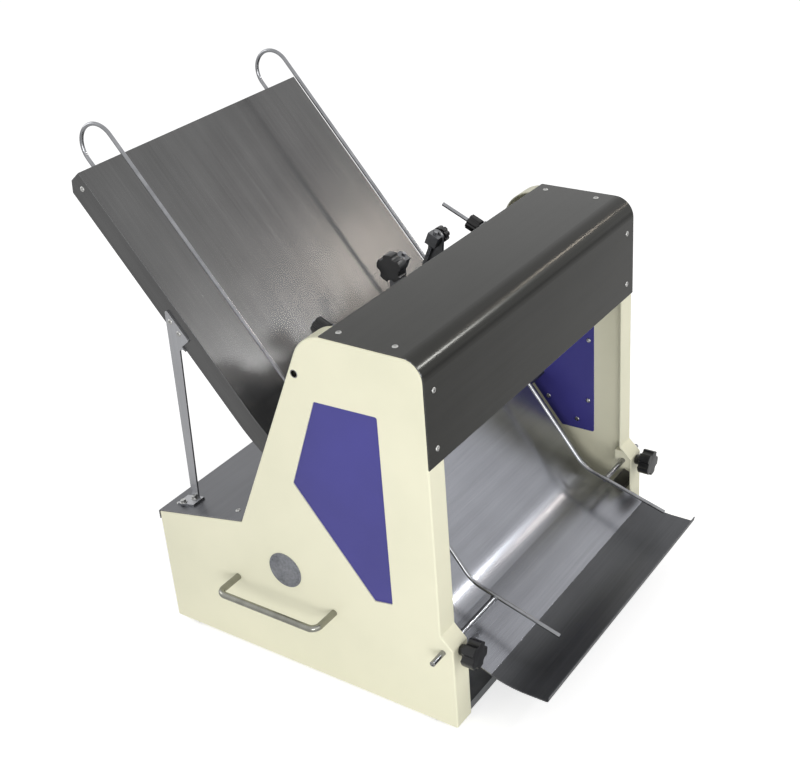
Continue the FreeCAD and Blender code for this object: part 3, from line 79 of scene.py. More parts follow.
# Pan head screws of one side, group by group: the node they sit on, with * for left or right; the
# turn of the recess in radians, any angle so that no two line up; then X, outward, Y and Z in
# millimetres.
SCREWS = {
    "cover_screws": (
        ("top_cover", 69.3, 266, 69, 575),
        ("top_cover", 154.3, 266, 154, 575),
        ("top_cover", 436.1, 265, 10, 435.2),
        ("top_cover", 518.4, 265, 10, 517.5),
    ),
    "panel_screws": (
        ("window_panel_*", 90.8, 270, 90.8, 314.7),
        ("window_panel_*", 92.2, 270, 92.2, 204.5),
        ("window_panel_*", 112.7, 270, 112.7, 164.5),
        ("window_panel_*", 165.3, 270, 165.3, 195.1),
        ("window_panel_*", 92.0, 270, 92.0, 425.0),
        ("window_panel_*", 105.0, 270, 105.0, 470.0),
        ("window_panel_*", 195.0, 270, 195.0, 462.0),
        ("window_panel_*", 247.0, 270, 247.0, 318.0),
    ),
    "tray_screws": (
        ("loading_tray", 0.4, 252, 600, 677),
        ("tray_strut_*", 1.1, 255, 469, 502),
        ("tray_strut_*", 2.3, 255, 456, 486),
        ("catch_tray", 0.8, 218, -8, 90),
        ("catch_tray", 0.2, 120, -8, 90),
    ),
    "rear_screws": (
        ("rear_shelf", 505, 261, 505, 240),
        ("rear_shelf", 380.5, 261, 380.5, 240),
        ("side_frame_*", 25, 268, 530, 25),
        ("side_frame_*", 105, 268, 530, 105),
        ("side_frame_*", 180, 268, 530, 180),
    ),
}

# Scales of the brushed lines along X, Y and Z, per metre: long along the lines, fine across them.
LINES_ACROSS = (9.0, 650.0, 650.0)
LINES_UP = (650.0, 650.0, 9.0)
WHITE = (1.0, 1.0, 1.0, 1.0)

SUNK = 0.0001  # depth of a screw's foot in its surface, in metres, so that no gap shows
STUD_RADIUS = 0.003  # of the studs of all grips, in metres
ONE_SPOT = 2e-6  # points nearer than this are one, in metres


def at(x, y, z):
    """Point given in millimetres from the machine's middle, its front foot and its lower edge."""
    return Vector((x / 1000, FRONT + y / 1000, BASE + z / 1000))


def seat(name, turn, x, y, z):
    """Place, direction and turn of a screw on a node's surface, where it is nearest to a point."""
    node = NODES[name]
    inward = node.matrix_world.inverted()
    _, spot, normal, _ = node.closest_point_on_mesh(inward @ at(x, y, z))
    way = (node.matrix_world.to_3x3() @ normal).normalized()
    return node.matrix_world @ spot - way * SUNK, way, turn


# ---- sizes and colours that a user may change ----

class SlicerSizes(bpy.types.PropertyGroup):
    """Sizes of the fasteners and grips"""
    screw_radius: FloatProperty(
        name="Screw head", description="Radius of the pan heads on cover, panels and trays",
        default=0.0042, min=0.002, max=0.01, unit="LENGTH")
    screw_height: FloatProperty(
        name="Screw height", description="How far a pan head stands out",
        default=0.0024, min=0.001, max=0.006, unit="LENGTH")
    bolt_radius: FloatProperty(
        name="Bolt head", description="Radius over the corners of the hexagon bolts",
        default=0.0045, min=0.003, max=0.012, unit="LENGTH")
    grip_radius: FloatProperty(
        name="Star grip", description="Radius over the lobes of the star grips",
        default=0.0200, min=0.012, max=0.03, unit="LENGTH")
    nut_radius: FloatProperty(
        name="Thumb nut", description="Radius over the flutes of the thumb nuts",
        default=0.0120, min=0.008, max=0.02, unit="LENGTH")
    grip_depth: FloatProperty(
        name="Front grip depth", description="Depth of a front star grip along its stud",
        default=0.018, min=0.008, max=0.03, unit="LENGTH")
    grip_lobes: IntProperty(
        name="Lobes", description="Number of lobes of a star grip", default=5, min=3, max=9)


class SlicerColours(bpy.types.PropertyGroup):
    """Colours of the painted sheets"""
    frame_coat: FloatVectorProperty(
        name="Frame coat", description="Powder coat of the side frames",
        subtype="COLOR_GAMMA", size=3, min=0.0, max=1.0, default=(0.965, 0.955, 0.850))
    panel_coat: FloatVectorProperty(
        name="Window panels", description="Powder coat of the panels in the side frames",
        subtype="COLOR_GAMMA", size=3, min=0.0, max=1.0, default=(0.265, 0.255, 0.555))


# ---- colours and node trees ----

def linear(code):
    """Linear colour with full opacity of an sRGB hex value."""
    parts = [int(code[i:i + 2], 16) / 255 for i in (1, 3, 5)]
    return [p / 12.92 if p <= 0.04045 else ((p + 0.055) / 1.055) ** 2.4 for p in parts] + [1.0]


def hex_of(colour, shade):
    """Hex value of a colour property, made lighter or darker."""
    return "#" + "".join(f"{max(0, min(255, round(255 * c * shade))):02X}" for c in colour)


def add_node(tree, kind, settings, inputs):
    """Adds a node; an input is given a value, or linked where the value is a socket."""
    node = tree.nodes.new(kind)
    for name, value in settings.items():
        setattr(node, name, value)
    for name, value in inputs.items():
        if isinstance(value, bpy.types.NodeSocket):
            tree.links.new(value, node.inputs[name])
        else:
            node.inputs[name].default_value = value
    return node


def start_material(name):
    """Node material that holds only its output and the Object coordinates."""
    material = bpy.data.materials.new(name)
    material.use_nodes = True
    tree = material.node_tree
    tree.nodes.clear()
    output = add_node(tree, "ShaderNodeOutputMaterial", {}, {})
    place = add_node(tree, "ShaderNodeTexCoord", {}, {}).outputs["Object"]
    return material, tree, output, place


def close_material(tree, output, colour, metallic, roughness, normal):
    """Principled shader, linked to the output of its material."""
    shader = add_node(tree, "ShaderNodeBsdfPrincipled", {}, {
        "Base Color": colour, "Metallic": metallic, "Roughness": roughness, "Normal": normal})
    tree.links.new(shader.outputs["BSDF"], output.inputs["Surface"])


def noise(tree, place, scale, detail, roughness=0.5):
    """Noise between 0 and 1; the scale is given per metre."""
    return add_node(tree, "ShaderNodeTexNoise", {}, {
        "Vector": place, "Scale": scale, "Detail": detail, "Roughness": roughness}).outputs["Fac"]


def blend(tree, factor, first, second):
    """Two values mixed; the factor is the share of the second."""
    return add_node(tree, "ShaderNodeMix", {"data_type": "FLOAT"}, {
        "Factor": factor, "A": first, "B": second}).outputs["Result"]


def tinted(tree, factor, colour, tone):
    """Colour that turns into a hex tone as the factor rises to 1."""
    return add_node(tree, "ShaderNodeMix", {"data_type": "RGBA"}, {
        "Factor": factor, "A": colour, "B": linear(tone)}).outputs["Result"]


def math_node(tree, operation, first, second):
    """Result of an operation on two values."""
    return add_node(tree, "ShaderNodeMath", {"operation": operation}, {
        0: first, 1: second}).outputs[0]


def dot_product(tree, first, second):
    """Dot product of two vectors."""
    return add_node(tree, "ShaderNodeVectorMath", {"operation": "DOT_PRODUCT"}, {
        0: first, 1: second}).outputs["Value"]


def around(tree, factor, middle, spread):
    """Value that lies below a middle where the factor is 0, and as far above it where it is 1."""
    return add_node(tree, "ShaderNodeMapRange", {}, {
        "Value": factor, "To Min": middle - spread, "To Max": middle + spread}).outputs["Result"]


def relief(tree, height, strength, distance, normal):
    """Normal with the relief of a height on it."""
    return add_node(tree, "ShaderNodeBump", {}, {
        "Height": height, "Strength": strength, "Distance": distance,
        "Normal": normal}).outputs["Normal"]


def two_tone(tree, factor, dark, light):
    """Colour ramp between two hex colours, over the middle of the factor, where most noise lies."""
    spread = 0.2
    ramp = add_node(tree, "ShaderNodeValToRGB", {}, {"Fac": factor})
    ramp.color_ramp.elements[0].position = 0.5 - spread
    ramp.color_ramp.elements[0].color = linear(dark)
    ramp.color_ramp.elements[1].position = 0.5 + spread
    ramp.color_ramp.elements[1].color = linear(light)
    return ramp.outputs["Color"]


def rounded(tree, radius):
    """Normal that is rounded over the edges."""
    return add_node(tree, "ShaderNodeBevel", {"samples": 6}, {"Radius": radius}).outputs["Normal"]


def rubbed(tree, normal):
    """Factor that rises to 1 along the edges, where the rounded normal leaves the flat one."""
    begins, full = 0.97, 0.8  # cosines between the two normals
    flat = add_node(tree, "ShaderNodeNewGeometry", {}, {}).outputs["Normal"]
    return add_node(tree, "ShaderNodeMapRange", {}, {
        "Value": dot_product(tree, normal, flat), "From Min": begins,
        "From Max": full}).outputs["Result"]


def powder_coat(name, dark, light, edge, roughness):
    """Stoved powder coat: soft orange peel, 2.5 mm from crest to crest, and thin on the edges."""
    material, tree, output, place = start_material(name)
    cloud = noise(tree, place, scale=6.0, detail=3.0)
    peel = noise(tree, place, scale=400.0, detail=2.0)
    normal = rounded(tree, radius=0.0012)
    thin = math_node(tree, "MULTIPLY", rubbed(tree, normal), 0.5)
    close_material(
        tree, output, colour=tinted(tree, thin, two_tone(tree, cloud, dark, light), edge),
        metallic=0.0, roughness=around(tree, cloud, roughness, spread=0.06),
        normal=relief(tree, peel, strength=0.25, distance=0.0004, normal=normal))
    return material


def brushed_steel(name, dark, light, roughness, lean, stretch):
    """Stainless sheet, belt brushed. The real lines lie about 0.2 mm apart and are drawn 1.5 mm
    apart, so that they show. Broader streaks, which are slightly raised, and faint handling clouds
    lie over them, and cut edges are bright. The lean turns the lines around X, and the stretch
    draws them out."""
    material, tree, output, place = start_material(name)
    turned = add_node(tree, "ShaderNodeMapping", {}, {
        "Vector": place, "Rotation": (lean, 0.0, 0.0)})
    drawn = add_node(tree, "ShaderNodeMapping", {}, {
        "Vector": turned.outputs["Vector"], "Scale": stretch}).outputs["Vector"]
    lines = noise(tree, drawn, scale=1.0, detail=3.0, roughness=0.6)
    streaks = noise(tree, drawn, scale=0.11, detail=2.0)
    cloud = noise(tree, place, scale=9.0, detail=4.0)
    mixed = blend(tree, 0.35, blend(tree, 0.45, lines, streaks), cloud)
    normal = rounded(tree, radius=0.0007)
    bright = math_node(tree, "MULTIPLY", rubbed(tree, normal), 0.6)
    close_material(
        tree, output, colour=tinted(tree, bright, two_tone(tree, mixed, dark, light), "#B4B5B7"),
        metallic=1.0, roughness=around(tree, mixed, roughness, spread=0.035),
        normal=relief(tree, streaks, strength=0.11, distance=0.0006, normal=normal))
    return material


def painted_light_inside(material, outward, tone):
    """Paints a paler tone, as painted light, on the faces of a sheet that look away from a
    direction, so that sheets which mirror these faces show them lighter than their shade.
    """
    tree = material.node_tree
    base = tree.nodes["Principled BSDF"].inputs["Base Color"]
    normal = add_node(tree, "ShaderNodeNewGeometry", {}, {}).outputs["Normal"]
    inside = math_node(tree, "LESS_THAN", dot_product(tree, normal, outward), 0.0)
    tree.links.new(tinted(tree, inside, base.links[0].from_socket, tone), base)


def even_finish(name, dark, light, metallic, roughness, scale, height):
    """Even grain, as moulded, cast, turned or polished, a little rounded over the edges."""
    material, tree, output, place = start_material(name)
    grain = noise(tree, place, scale, detail=3.0)
    cloud = noise(tree, place, scale=35.0, detail=2.0)
    close_material(
        tree, output, colour=two_tone(tree, blend(tree, 0.5, grain, cloud), dark, light),
        metallic=metallic, roughness=around(tree, cloud, roughness, spread=0.04),
        normal=relief(
            tree, grain, strength=0.3, distance=height, normal=rounded(tree, radius=0.0004)))
    return material


def dress(material, *names):
    """Gives a material to CAD nodes."""
    for name in names:
        slots = NODES[name].data.materials
        slots.clear()
        slots.append(material)


def both(name):
    """Names of a left and a right node."""
    return [name + "_left", name + "_right"]


def shown_rays(tree, share):
    """1 for the rays that show the white background, a share of it for mirrored and clear ones."""
    rays = add_node(tree, "ShaderNodeLightPath", {}, {}).outputs
    passed = math_node(tree, "MAXIMUM", rays["Is Glossy Ray"], rays["Is Transmission Ray"])
    weak = math_node(tree, "MULTIPLY", passed, share)
    return math_node(tree, "MAXIMUM", weak, rays["Is Camera Ray"])


def mix_shaders(tree, factor, first, second):
    """Two shader nodes mixed; the factor is the share of the second."""
    return add_node(tree, "ShaderNodeMixShader", {}, {
        0: factor, 1: first.outputs[0], 2: second.outputs[0]}).outputs[0]


# ---- modelling steps ----

def deselect():
    """Object mode with nothing selected."""
    if bpy.context.object and bpy.context.object.mode == "EDIT":
        bpy.ops.object.mode_set(mode="OBJECT")
    bpy.ops.object.select_all(action="DESELECT")


def cylinder(sides, radius, depth, middle, x=0.0, y=0.0):
    """New cylinder along Z, selected alone; the middle is the height of its middle."""
    deselect()
    bpy.ops.mesh.primitive_cylinder_add(
        vertices=sides, radius=radius, depth=depth, location=(x, y, middle))
    return bpy.context.object


def looks_up(face):
    """True for the upper faces of a pattern."""
    return face.normal.z > 0.9


def looks_down(face):
    """True for the lower faces of a pattern."""
    return face.normal.z < -0.9


def choose_faces(piece, test):
    """Edit mode on a piece, with only the faces that pass the test selected."""
    bpy.ops.object.mode_set(mode="EDIT")
    bpy.ops.mesh.select_mode(type="FACE")
    bpy.ops.mesh.select_all(action="DESELECT")
    bpy.ops.object.mode_set(mode="OBJECT")
    for face in piece.data.polygons:
        face.select = test(face)
    bpy.ops.object.mode_set(mode="EDIT")


def bevel_faces(piece, test, width, segments):
    """Bevels the edges of the faces that pass the test."""
    choose_faces(piece, test)
    bpy.ops.mesh.bevel(offset=width, segments=segments)
    bpy.ops.object.mode_set(mode="OBJECT")


def inset_faces(piece, test, *rings):
    """Insets rings, given by width and rise, one inside the other in faces that pass the test."""
    choose_faces(piece, test)
    for width, rise in rings:
        bpy.ops.mesh.inset(thickness=width, depth=rise)
    bpy.ops.object.mode_set(mode="OBJECT")


def apply_modifier(piece, kind, settings):
    """Adds a modifier with its settings to a piece and applies it."""
    modifier = piece.modifiers.new(kind.title(), kind)
    for name, value in settings.items():
        setattr(modifier, name, value)
    bpy.context.view_layer.objects.active = piece
    bpy.ops.object.modifier_apply(modifier=modifier.name)


def cut_away(piece, cutter):
    """Boolean cut; the cutter is removed afterwards."""
    apply_modifier(piece, "BOOLEAN", {
        "object": cutter, "operation": "DIFFERENCE", "solver": "EXACT"})
    discard(cutter)


def discard(piece):
    """Removes a pattern or a cutter that is no longer needed."""
    bpy.data.objects.remove(piece, do_unlink=True)


def clean():
    """On the active piece: merges points that lie on one spot, and drops faces without area."""
    bpy.ops.object.mode_set(mode="EDIT")
    bpy.ops.mesh.select_mode(type="VERT")
    bpy.ops.mesh.select_all(action="SELECT")
    bpy.ops.mesh.remove_doubles(threshold=ONE_SPOT)
    bpy.ops.mesh.dissolve_degenerate(threshold=ONE_SPOT)
    bpy.ops.object.mode_set(mode="OBJECT")


def joined(name, pieces):
    """One object of several, at the origin with its place in its mesh."""
    deselect()
    for piece in pieces:
        piece.select_set(True)
    bpy.context.view_layer.objects.active = pieces[0]
    if len(pieces) > 1:
        bpy.ops.object.join()
    whole = bpy.context.object
    whole.name = name
    bpy.ops.object.transform_apply(location=True, rotation=True, scale=True)
    clean()
    return whole


def smooth(piece, degrees):
    """Smooth shading, except over the edges that turn by more degrees than given."""
    deselect()
    piece.select_set(True)
    bpy.context.view_layer.objects.active = piece
    bpy.ops.object.shade_smooth_by_angle(angle=math.radians(degrees))


def copies(pattern, name, places, degrees):
    """One object of copies of a pattern, each by its spot, direction and turn in radians. It is
    shaded smooth, except over edges that turn by more degrees than given."""
    made = []
    for spot, way, turn in places:
        copy = pattern.copy()
        copy.data = pattern.data.copy()
        bpy.context.collection.objects.link(copy)
        stand = UP.rotation_difference(way).to_matrix().to_4x4()
        copy.matrix_world = Matrix.Translation(spot) @ stand @ Matrix.Rotation(turn, 4, "Z")
        made.append(copy)
    bpy.context.view_layer.update()
    piece = joined(name, made)
    smooth(piece, degrees)
    return piece


def finish_piece(piece, material, slot, body, *nodes):
    """Material by its name and body of a piece, and the nodes it stands for; the slot is not used.
    """
    piece.data.materials.clear()
    piece.data.materials.append(bpy.data.materials[material])
    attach(piece, body)
    if nodes:
        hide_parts(*nodes)


# ---- patterns, drawn along +Z ----

def pan_head(radius, height):
    """Pan head screw with a cross recess, standing on the origin."""
    head = cylinder(sides=20, radius=radius, depth=height, middle=height / 2)
    bevel_faces(head, looks_up, width=height * 0.62, segments=3)
    for turn in (0.0, math.pi / 2):
        deselect()
        bpy.ops.mesh.primitive_cube_add(size=1.0, location=(0, 0, height), rotation=(0, 0, turn))
        bar = bpy.context.object  # of the cross; its lower half cuts into the head
        bar.scale = (radius * 1.1, radius * 0.24, height * 0.9)
        cut_away(head, bar)
    return head


def hexagon_bolt(radius):
    """Hexagon head on its washer, standing on the origin; the radius is over the corners."""
    washer_depth, head_depth = radius * 0.2, radius * 0.75
    washer = cylinder(
        sides=24, radius=radius * 1.3, depth=washer_depth, middle=washer_depth / 2)
    bevel_faces(washer, looks_up, width=radius * 0.05, segments=2)
    head = cylinder(
        sides=6, radius=radius, depth=head_depth, middle=washer_depth + head_depth / 2)
    inset_faces(head, looks_up, (radius * 0.16, radius * 0.08))
    return joined("bolt_pattern", [washer, head])


def lobed_grip(radius, depth, lobes, scallop, hub_radius, hub_depth, stud_length, bore=0.0):
    """Grip with a stud below the origin, a hub above it, then the lobed head with a recessed cap;
    without a hub's depth it is the head alone. A scallop's radius and distance are shares of the
    grip's radius; the bore is a radius."""
    middle = hub_depth + depth / 2
    hollow, reach = radius * scallop[0], radius * scallop[1]
    head = cylinder(sides=60, radius=radius, depth=depth, middle=middle)
    for i in range(lobes):
        angle = 2 * math.pi * i / lobes
        cut_away(head, cylinder(
            sides=32, radius=hollow, depth=depth * 2, middle=middle,
            x=reach * math.cos(angle), y=reach * math.sin(angle)))
    apply_modifier(head, "BEVEL", {
        "width": hollow * 0.3, "segments": 4, "limit_method": "ANGLE",
        "angle_limit": math.radians(40)})
    top = hub_depth + depth - 1e-5  # a hair below the upper end

    def is_cap(face):
        return face.normal.z > 0.99 and face.center.z > top and face.area > radius ** 2

    # The cap's rim, and the wall down to its middle.
    inset_faces(head, is_cap, (radius * 0.2, 0.0), (radius * 0.05, -radius * 0.05))
    if bore:
        cut_away(head, cylinder(sides=32, radius=bore, depth=depth * 3, middle=middle))
    parts = [head]
    if hub_depth:
        # The hub reaches a little into the head, and the stud runs through the hub.
        for spread, low, high in (
            (hub_radius, 0.0, hub_depth * 1.1),
            (STUD_RADIUS, -stud_length, hub_depth),
        ):
            part = cylinder(sides=32, radius=spread, depth=high - low, middle=(low + high) / 2)
            bevel_faces(part, looks_down, width=spread * 0.12, segments=2)
            parts.append(part)
    return joined("grip_pattern", parts)


def turned_cap(radius, depth):
    """Turned cover disc: chamfered rim, a groove inside it and a small centre mark."""
    cap = cylinder(sides=96, radius=radius, depth=depth, middle=depth / 2)
    inset_faces(
        cap, looks_up,
        (0.0006, 0.0), (0.0026, 0.0),  # the rim
        (0.0004, -0.0007), (0.0008, 0.0), (0.0004, 0.0005),  # the groove's wall, floor and wall
        (radius * 0.76, 0.0), (0.0004, -0.0004))  # the face and the centre mark
    apply_modifier(cap, "BEVEL", {
        "width": 0.0005, "segments": 2, "limit_method": "ANGLE", "angle_limit": math.radians(60)})
    return cap


def drilled_end(radius):
    """End of a round bar, with a chamfer and the centre hole that is left from turning."""
    depth = 0.002
    end = cylinder(sides=32, radius=radius, depth=depth, middle=depth / 2)
    inset_faces(
        end, looks_up,
        (radius * 0.12, 0.0003), (radius * 0.3, 0.0),  # the chamfer and the face
        (radius * 0.08, -0.0016))  # the centre hole
    return end


def weld_bead(radius, thickness):
    """Ring-shaped fillet weld around Z, with the ripples of its passes."""
    deselect()
    bpy.ops.mesh.primitive_torus_add(
        major_radius=radius, minor_radius=thickness, major_segments=48, minor_segments=10)
    bead = bpy.context.object
    sector = 2 * math.pi / 24  # every second one is drawn in

    def in_even_sector(face):
        turn = math.atan2(face.center.y, face.center.x) + math.pi
        return int(turn / sector) % 2 == 0

    choose_faces(bead, in_even_sector)
    bpy.ops.transform.shrink_fatten(value=-thickness * 0.16)
    bpy.ops.object.mode_set(mode="OBJECT")
    return bead


# ---- operators ----

class SLICER_OT_finishes(bpy.types.Operator):
    """Give each metal, painted and plastic part its finish"""
    bl_idname = "slicer.finishes"
    bl_label = "Finishes"

    def execute(self, context):
        ivory_coat = context.scene.slicer_colours.frame_coat
        violet_coat = context.scene.slicer_colours.panel_coat
        # Warm ivory enamel: the orange peel breaks up its gloss, and the folds show a paler line.
        ivory = powder_coat(
            "ivory_powder_coat", hex_of(ivory_coat, 0.98), hex_of(ivory_coat, 1.01),
            edge=hex_of(ivory_coat, 1.06), roughness=0.42)
        # Deep violet enamel, flatter than the frames, with paler folds.
        violet = powder_coat(
            "violet_powder_coat", hex_of(violet_coat, 0.93), hex_of(violet_coat, 1.06),
            edge=hex_of(violet_coat, 1.35), roughness=0.45)

        # Brushed sheets and bars: darker and lighter tone, roughness, lean and scales of the lines.
        # The tones are darker than bare steel and differ from sheet to sheet: they are painted
        # reflection, set to how bright each sheet shows, and they stand in for the darker
        # surroundings the steel would mirror instead of the white world.
        # Lines run up the tray and stretch each lamp into a soft patch; clouds keep the sheet from
        # looking flat.
        tray = brushed_steel(
            "brushed_stainless_tray", "#5A5A5A", "#6D6D6D", 0.26, TRAY_LEAN, LINES_UP)
        # The darkest sheet: its dark tone is painted reflection, standing in for the dark
        # surroundings it would mirror, and its front fold catches one clean bright line. The inside
        # is painted light: paler, so that it doesn't show black where the sheets below mirror it.
        cover = brushed_steel(
            "brushed_stainless_cover", "#373735", "#424240", 0.22, 0.0, LINES_ACROSS)
        painted_light_inside(cover, outward=(0.0, -0.5, 0.85), tone="#A4A5A7")
        # The palest sheet: its pale tone is painted reflection, standing in for the bright
        # surroundings it mirrors, and its curve draws a lamp out into a white band along the knee.
        chute = brushed_steel(
            "brushed_stainless_chute", "#83848A", "#9A9CA2", 0.26, 0.0, LINES_ACROSS)
        # Dull, and painted dark as painted shade below the chute, so that the joint between the two
        # sheets reads.
        catch = brushed_steel(
            "brushed_stainless_catch_tray", "#4C4D4F", "#5F6063", 0.38, 0.0, LINES_ACROSS)
        # Shelf and rear: a wide, weak sheen.
        plain = brushed_steel(
            "brushed_stainless_panel", "#606164", "#707175", 0.36, 0.0, LINES_ACROSS)
        # Flat bar with its lines along the bar, pale against the tray.
        struts = brushed_steel(
            "brushed_stainless_flat_bar", "#A0A1A4", "#BABBBE", 0.38, 0.0, LINES_UP)

        # Even finishes: darker and lighter tone, metallic share, roughness, scale of the grain per
        # metre and its height in metres.
        # Rods and wires: near mirrors that show thin dark and bright lines along their length.
        chrome = even_finish("chromed_rod", "#8A8A88", "#A2A2A0", 1.0, 0.17, 60.0, 0.00003)
        drawn = even_finish("drawn_stainless_rod", "#84847D", "#9C9C94", 1.0, 0.24, 90.0, 0.00003)
        wire = even_finish("drawn_stainless_wire", "#86878A", "#9E9FA2", 1.0, 0.2, 70.0, 0.00002)
        # Grips: black, with a fine moulded grain and a small gleam on each lobe.
        black = even_finish("black_phenolic", "#0E0E0F", "#1A1A1C", 0.0, 0.3, 500.0, 0.0002)
        # Feet and belt: matt, without a gleam.
        rubber = even_finish("moulded_rubber", "#1C1C1C", "#282828", 0.0, 0.8, 300.0, 0.0003)
        # Bearings and their discs: grey, grainy and half dull against the ivory.
        grey = even_finish("grey_cast_cover", "#66686E", "#96989E", 0.35, 0.5, 260.0, 0.0003)
        # The drive, seen through the blades: grey steel, darker iron and blue-grey motor paint.
        machined = even_finish("machined_steel", "#68696B", "#7A7B7D", 1.0, 0.38, 200.0, 0.0001)
        iron = even_finish("turned_cast_iron", "#4A4A4C", "#5C5C5E", 0.8, 0.5, 150.0, 0.0003)
        paint = even_finish("hammered_motor_paint", "#3A454E", "#4A565F", 0.2, 0.4, 90.0, 0.0006)
        # Zinc: pale and cloudy.
        zinc = even_finish("zinc_plated_sheet", "#7E8082", "#929496", 1.0, 0.42, 40.0, 0.0001)
        # Blades and their frames: pale, fine in grain, with glints on the edges.
        alloy = even_finish("milled_aluminium", "#8E9092", "#A2A4A6", 1.0, 0.36, 250.0, 0.0001)
        blade = even_finish("ground_blade_steel", "#86878A", "#9C9DA0", 1.0, 0.28, 300.0, 0.0001)
        # Screw heads: the brightest small dots, with a dark recess.
        even_finish("bright_screw", "#A8A8A6", "#C8C8C6", 1.0, 0.3, 200.0, 0.00005)
        # Weld beads: dull and rippled between two bright rods.
        even_finish("grey_weld", "#5A5B5E", "#86878A", 1.0, 0.42, 700.0, 0.0002)

        dress(ivory, *both("side_frame"), *both("front_clamp"))
        dress(violet, *both("window_panel"))
        dress(tray, "loading_tray")
        dress(cover, "top_cover")
        dress(chute, "discharge_chute")
        dress(catch, "catch_tray")
        dress(struts, *both("tray_strut"))
        dress(plain, "rear_shelf", "rear_panel", "tie_bar_top", "tie_bar_chute", "tie_bar_front")
        dress(drawn, *both("carry_handle"))
        dress(wire, *both("discharge_guide"), *both("loading_guide"), "holddown_wire")
        dress(chrome, "cross_rod", "tray_rod")
        dress(black, "cable_gland", *both("front_knob"), *both("holddown_knob"), *both("guide_nut"))
        dress(rubber, "rubber_feet", "v_belt")
        dress(grey, *both("bearing_cap"), *both("bearing"))
        dress(machined, "crankshaft", *both("con_rod_front"), *both("con_rod_rear"),
              *both("holddown_arm"), *both("guide_clamp"))
        dress(iron, "crank_pulley", "motor_pulley")
        dress(paint, "motor")
        dress(zinc, "base_plate", "motor_bracket", *both("blade_guide"))
        dress(alloy, "blade_frame_front", "blade_frame_rear")
        dress(blade, "blades_front", "blades_rear")
        return {"FINISHED"}


class SLICER_OT_screws(bpy.types.Operator):
    """Pan head screws of the cover, the window panels, the trays, the struts and the rear"""
    bl_idname = "slicer.screws"
    bl_label = "Screws"

    def execute(self, context):
        sizes = context.scene.slicer_sizes
        head = pan_head(sizes.screw_radius, sizes.screw_height)
        for name, screws in SCREWS.items():
            places = [
                seat(node.replace("*", side), turn, way.x * x, y, z)
                for side, way in SIDES for node, turn, x, y, z in screws]
            group = copies(head, name, places, degrees=35)
            finish_piece(group, "bright_screw", "stainless", "machine")
        discard(head)
        return {"FINISHED"}


class SLICER_OT_bolts(bpy.types.Operator):
    """Hexagon bolts of the tray struts' feet"""
    bl_idname = "slicer.bolts"
    bl_label = "Strut bolts"

    def execute(self, context):
        bolt = hexagon_bolt(context.scene.slicer_sizes.bolt_radius)
        places = []
        for _, way in SIDES:
            for x, y in STRUT_BOLTS:
                z = LEDGE_END[1] + (LEDGE_END[0] - y) * LEDGE_RISE + SHELF_SHEET + STRUT_FOOT
                places.append((at(way.x * x, y, z), LEDGE_NORMAL, y))
        group = copies(bolt, "strut_bolts", places, degrees=30)
        finish_piece(group, "bright_screw", "stainless", "machine")
        discard(bolt)
        return {"FINISHED"}


class SLICER_OT_star_grips(bpy.types.Operator):
    """Star grips of the front clamps and of the hold-down"""
    bl_idname = "slicer.star_grips"
    bl_label = "Star grips"

    def execute(self, context):
        sizes = context.scene.slicer_sizes
        scallop = (0.33, 1.12)
        pattern = lobed_grip(
            sizes.grip_radius, sizes.grip_depth, sizes.grip_lobes, scallop,
            hub_radius=0.008, hub_depth=0.011, stud_length=0.0125)
        for side, way in SIDES:
            node = "front_knob_" + side
            spot = at(way.x * FRONT_KNOB[0], FRONT_KNOB[1], GUIDE_ROD[1])
            grip = copies(pattern, node + "_grip", [(spot, AHEAD, 0.4)], degrees=35)
            finish_piece(grip, "black_phenolic", "black_plastic", node, node)
        discard(pattern)

        low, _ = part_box("holddown_knob_left")
        depth, hub_depth = 0.016, 0.005
        pattern = lobed_grip(
            sizes.grip_radius, depth, sizes.grip_lobes, scallop,
            hub_radius=0.007, hub_depth=hub_depth, stud_length=0.0073)
        spot = at(0, *HOLD_KNOB)
        spot.x = low[0] + depth + hub_depth
        grip = copies(pattern, "holddown_star_grip", [(spot, LEFT, 0.7)], degrees=35)
        finish_piece(
            grip, "black_phenolic", "black_plastic", "holddown_knob_left", "holddown_knob_left")
        discard(pattern)
        return {"FINISHED"}


class SLICER_OT_thumb_nuts(bpy.types.Operator):
    """Fluted thumb nuts of the loading guides and of the hold-down's far arm"""
    bl_idname = "slicer.thumb_nuts"
    bl_label = "Thumb nuts"

    def execute(self, context):
        feed = Vector((0.0, math.cos(BLADE_LEAN), math.sin(BLADE_LEAN)))
        # Direction, depth, depth of the hub, length of the stud and radius of the bore.
        for node, way, depth, hub, stud, bore in (
            ("guide_nut_left", feed, 0.019, 0.0, 0.0, 0.00305),
            ("guide_nut_right", feed, 0.019, 0.0, 0.0, 0.00305),
            ("holddown_knob_right", RIGHT, 0.010, 0.005, 0.0073, 0.0),
        ):
            low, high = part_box(node)
            spot = (Vector(low) + Vector(high)) / 2
            if hub:
                spot.x = high[0] - depth - hub
            else:
                spot -= way * (depth / 2)
            pattern = lobed_grip(
                context.scene.slicer_sizes.nut_radius, depth, lobes=8, scallop=(0.2, 1.08),
                hub_radius=0.007, hub_depth=hub, stud_length=stud, bore=bore)
            nut = copies(pattern, node + "_grip", [(spot, way, 0.2)], degrees=35)
            finish_piece(nut, "black_phenolic", "black_plastic", node, node)
            discard(pattern)
        return {"FINISHED"}


class SLICER_OT_bearing_caps(bpy.types.Operator):
    """Turned cover discs over the crankshaft's ends"""
    bl_idname = "slicer.bearing_caps"
    bl_label = "Bearing caps"

    def execute(self, context):
        for side, way in SIDES:
            node = "bearing_cap_" + side
            low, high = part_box(node)
            depth = high[0] - low[0]
            spot = (Vector(low) + Vector(high)) / 2 - way * (depth / 2)
            pattern = turned_cap((high[2] - low[2]) / 2, depth)
            cap = copies(pattern, node + "_disc", [(spot, way, 0.0)], degrees=30)
            finish_piece(cap, "grey_cast_cover", "bearing_grey", "machine", node)
            discard(pattern)
        return {"FINISHED"}


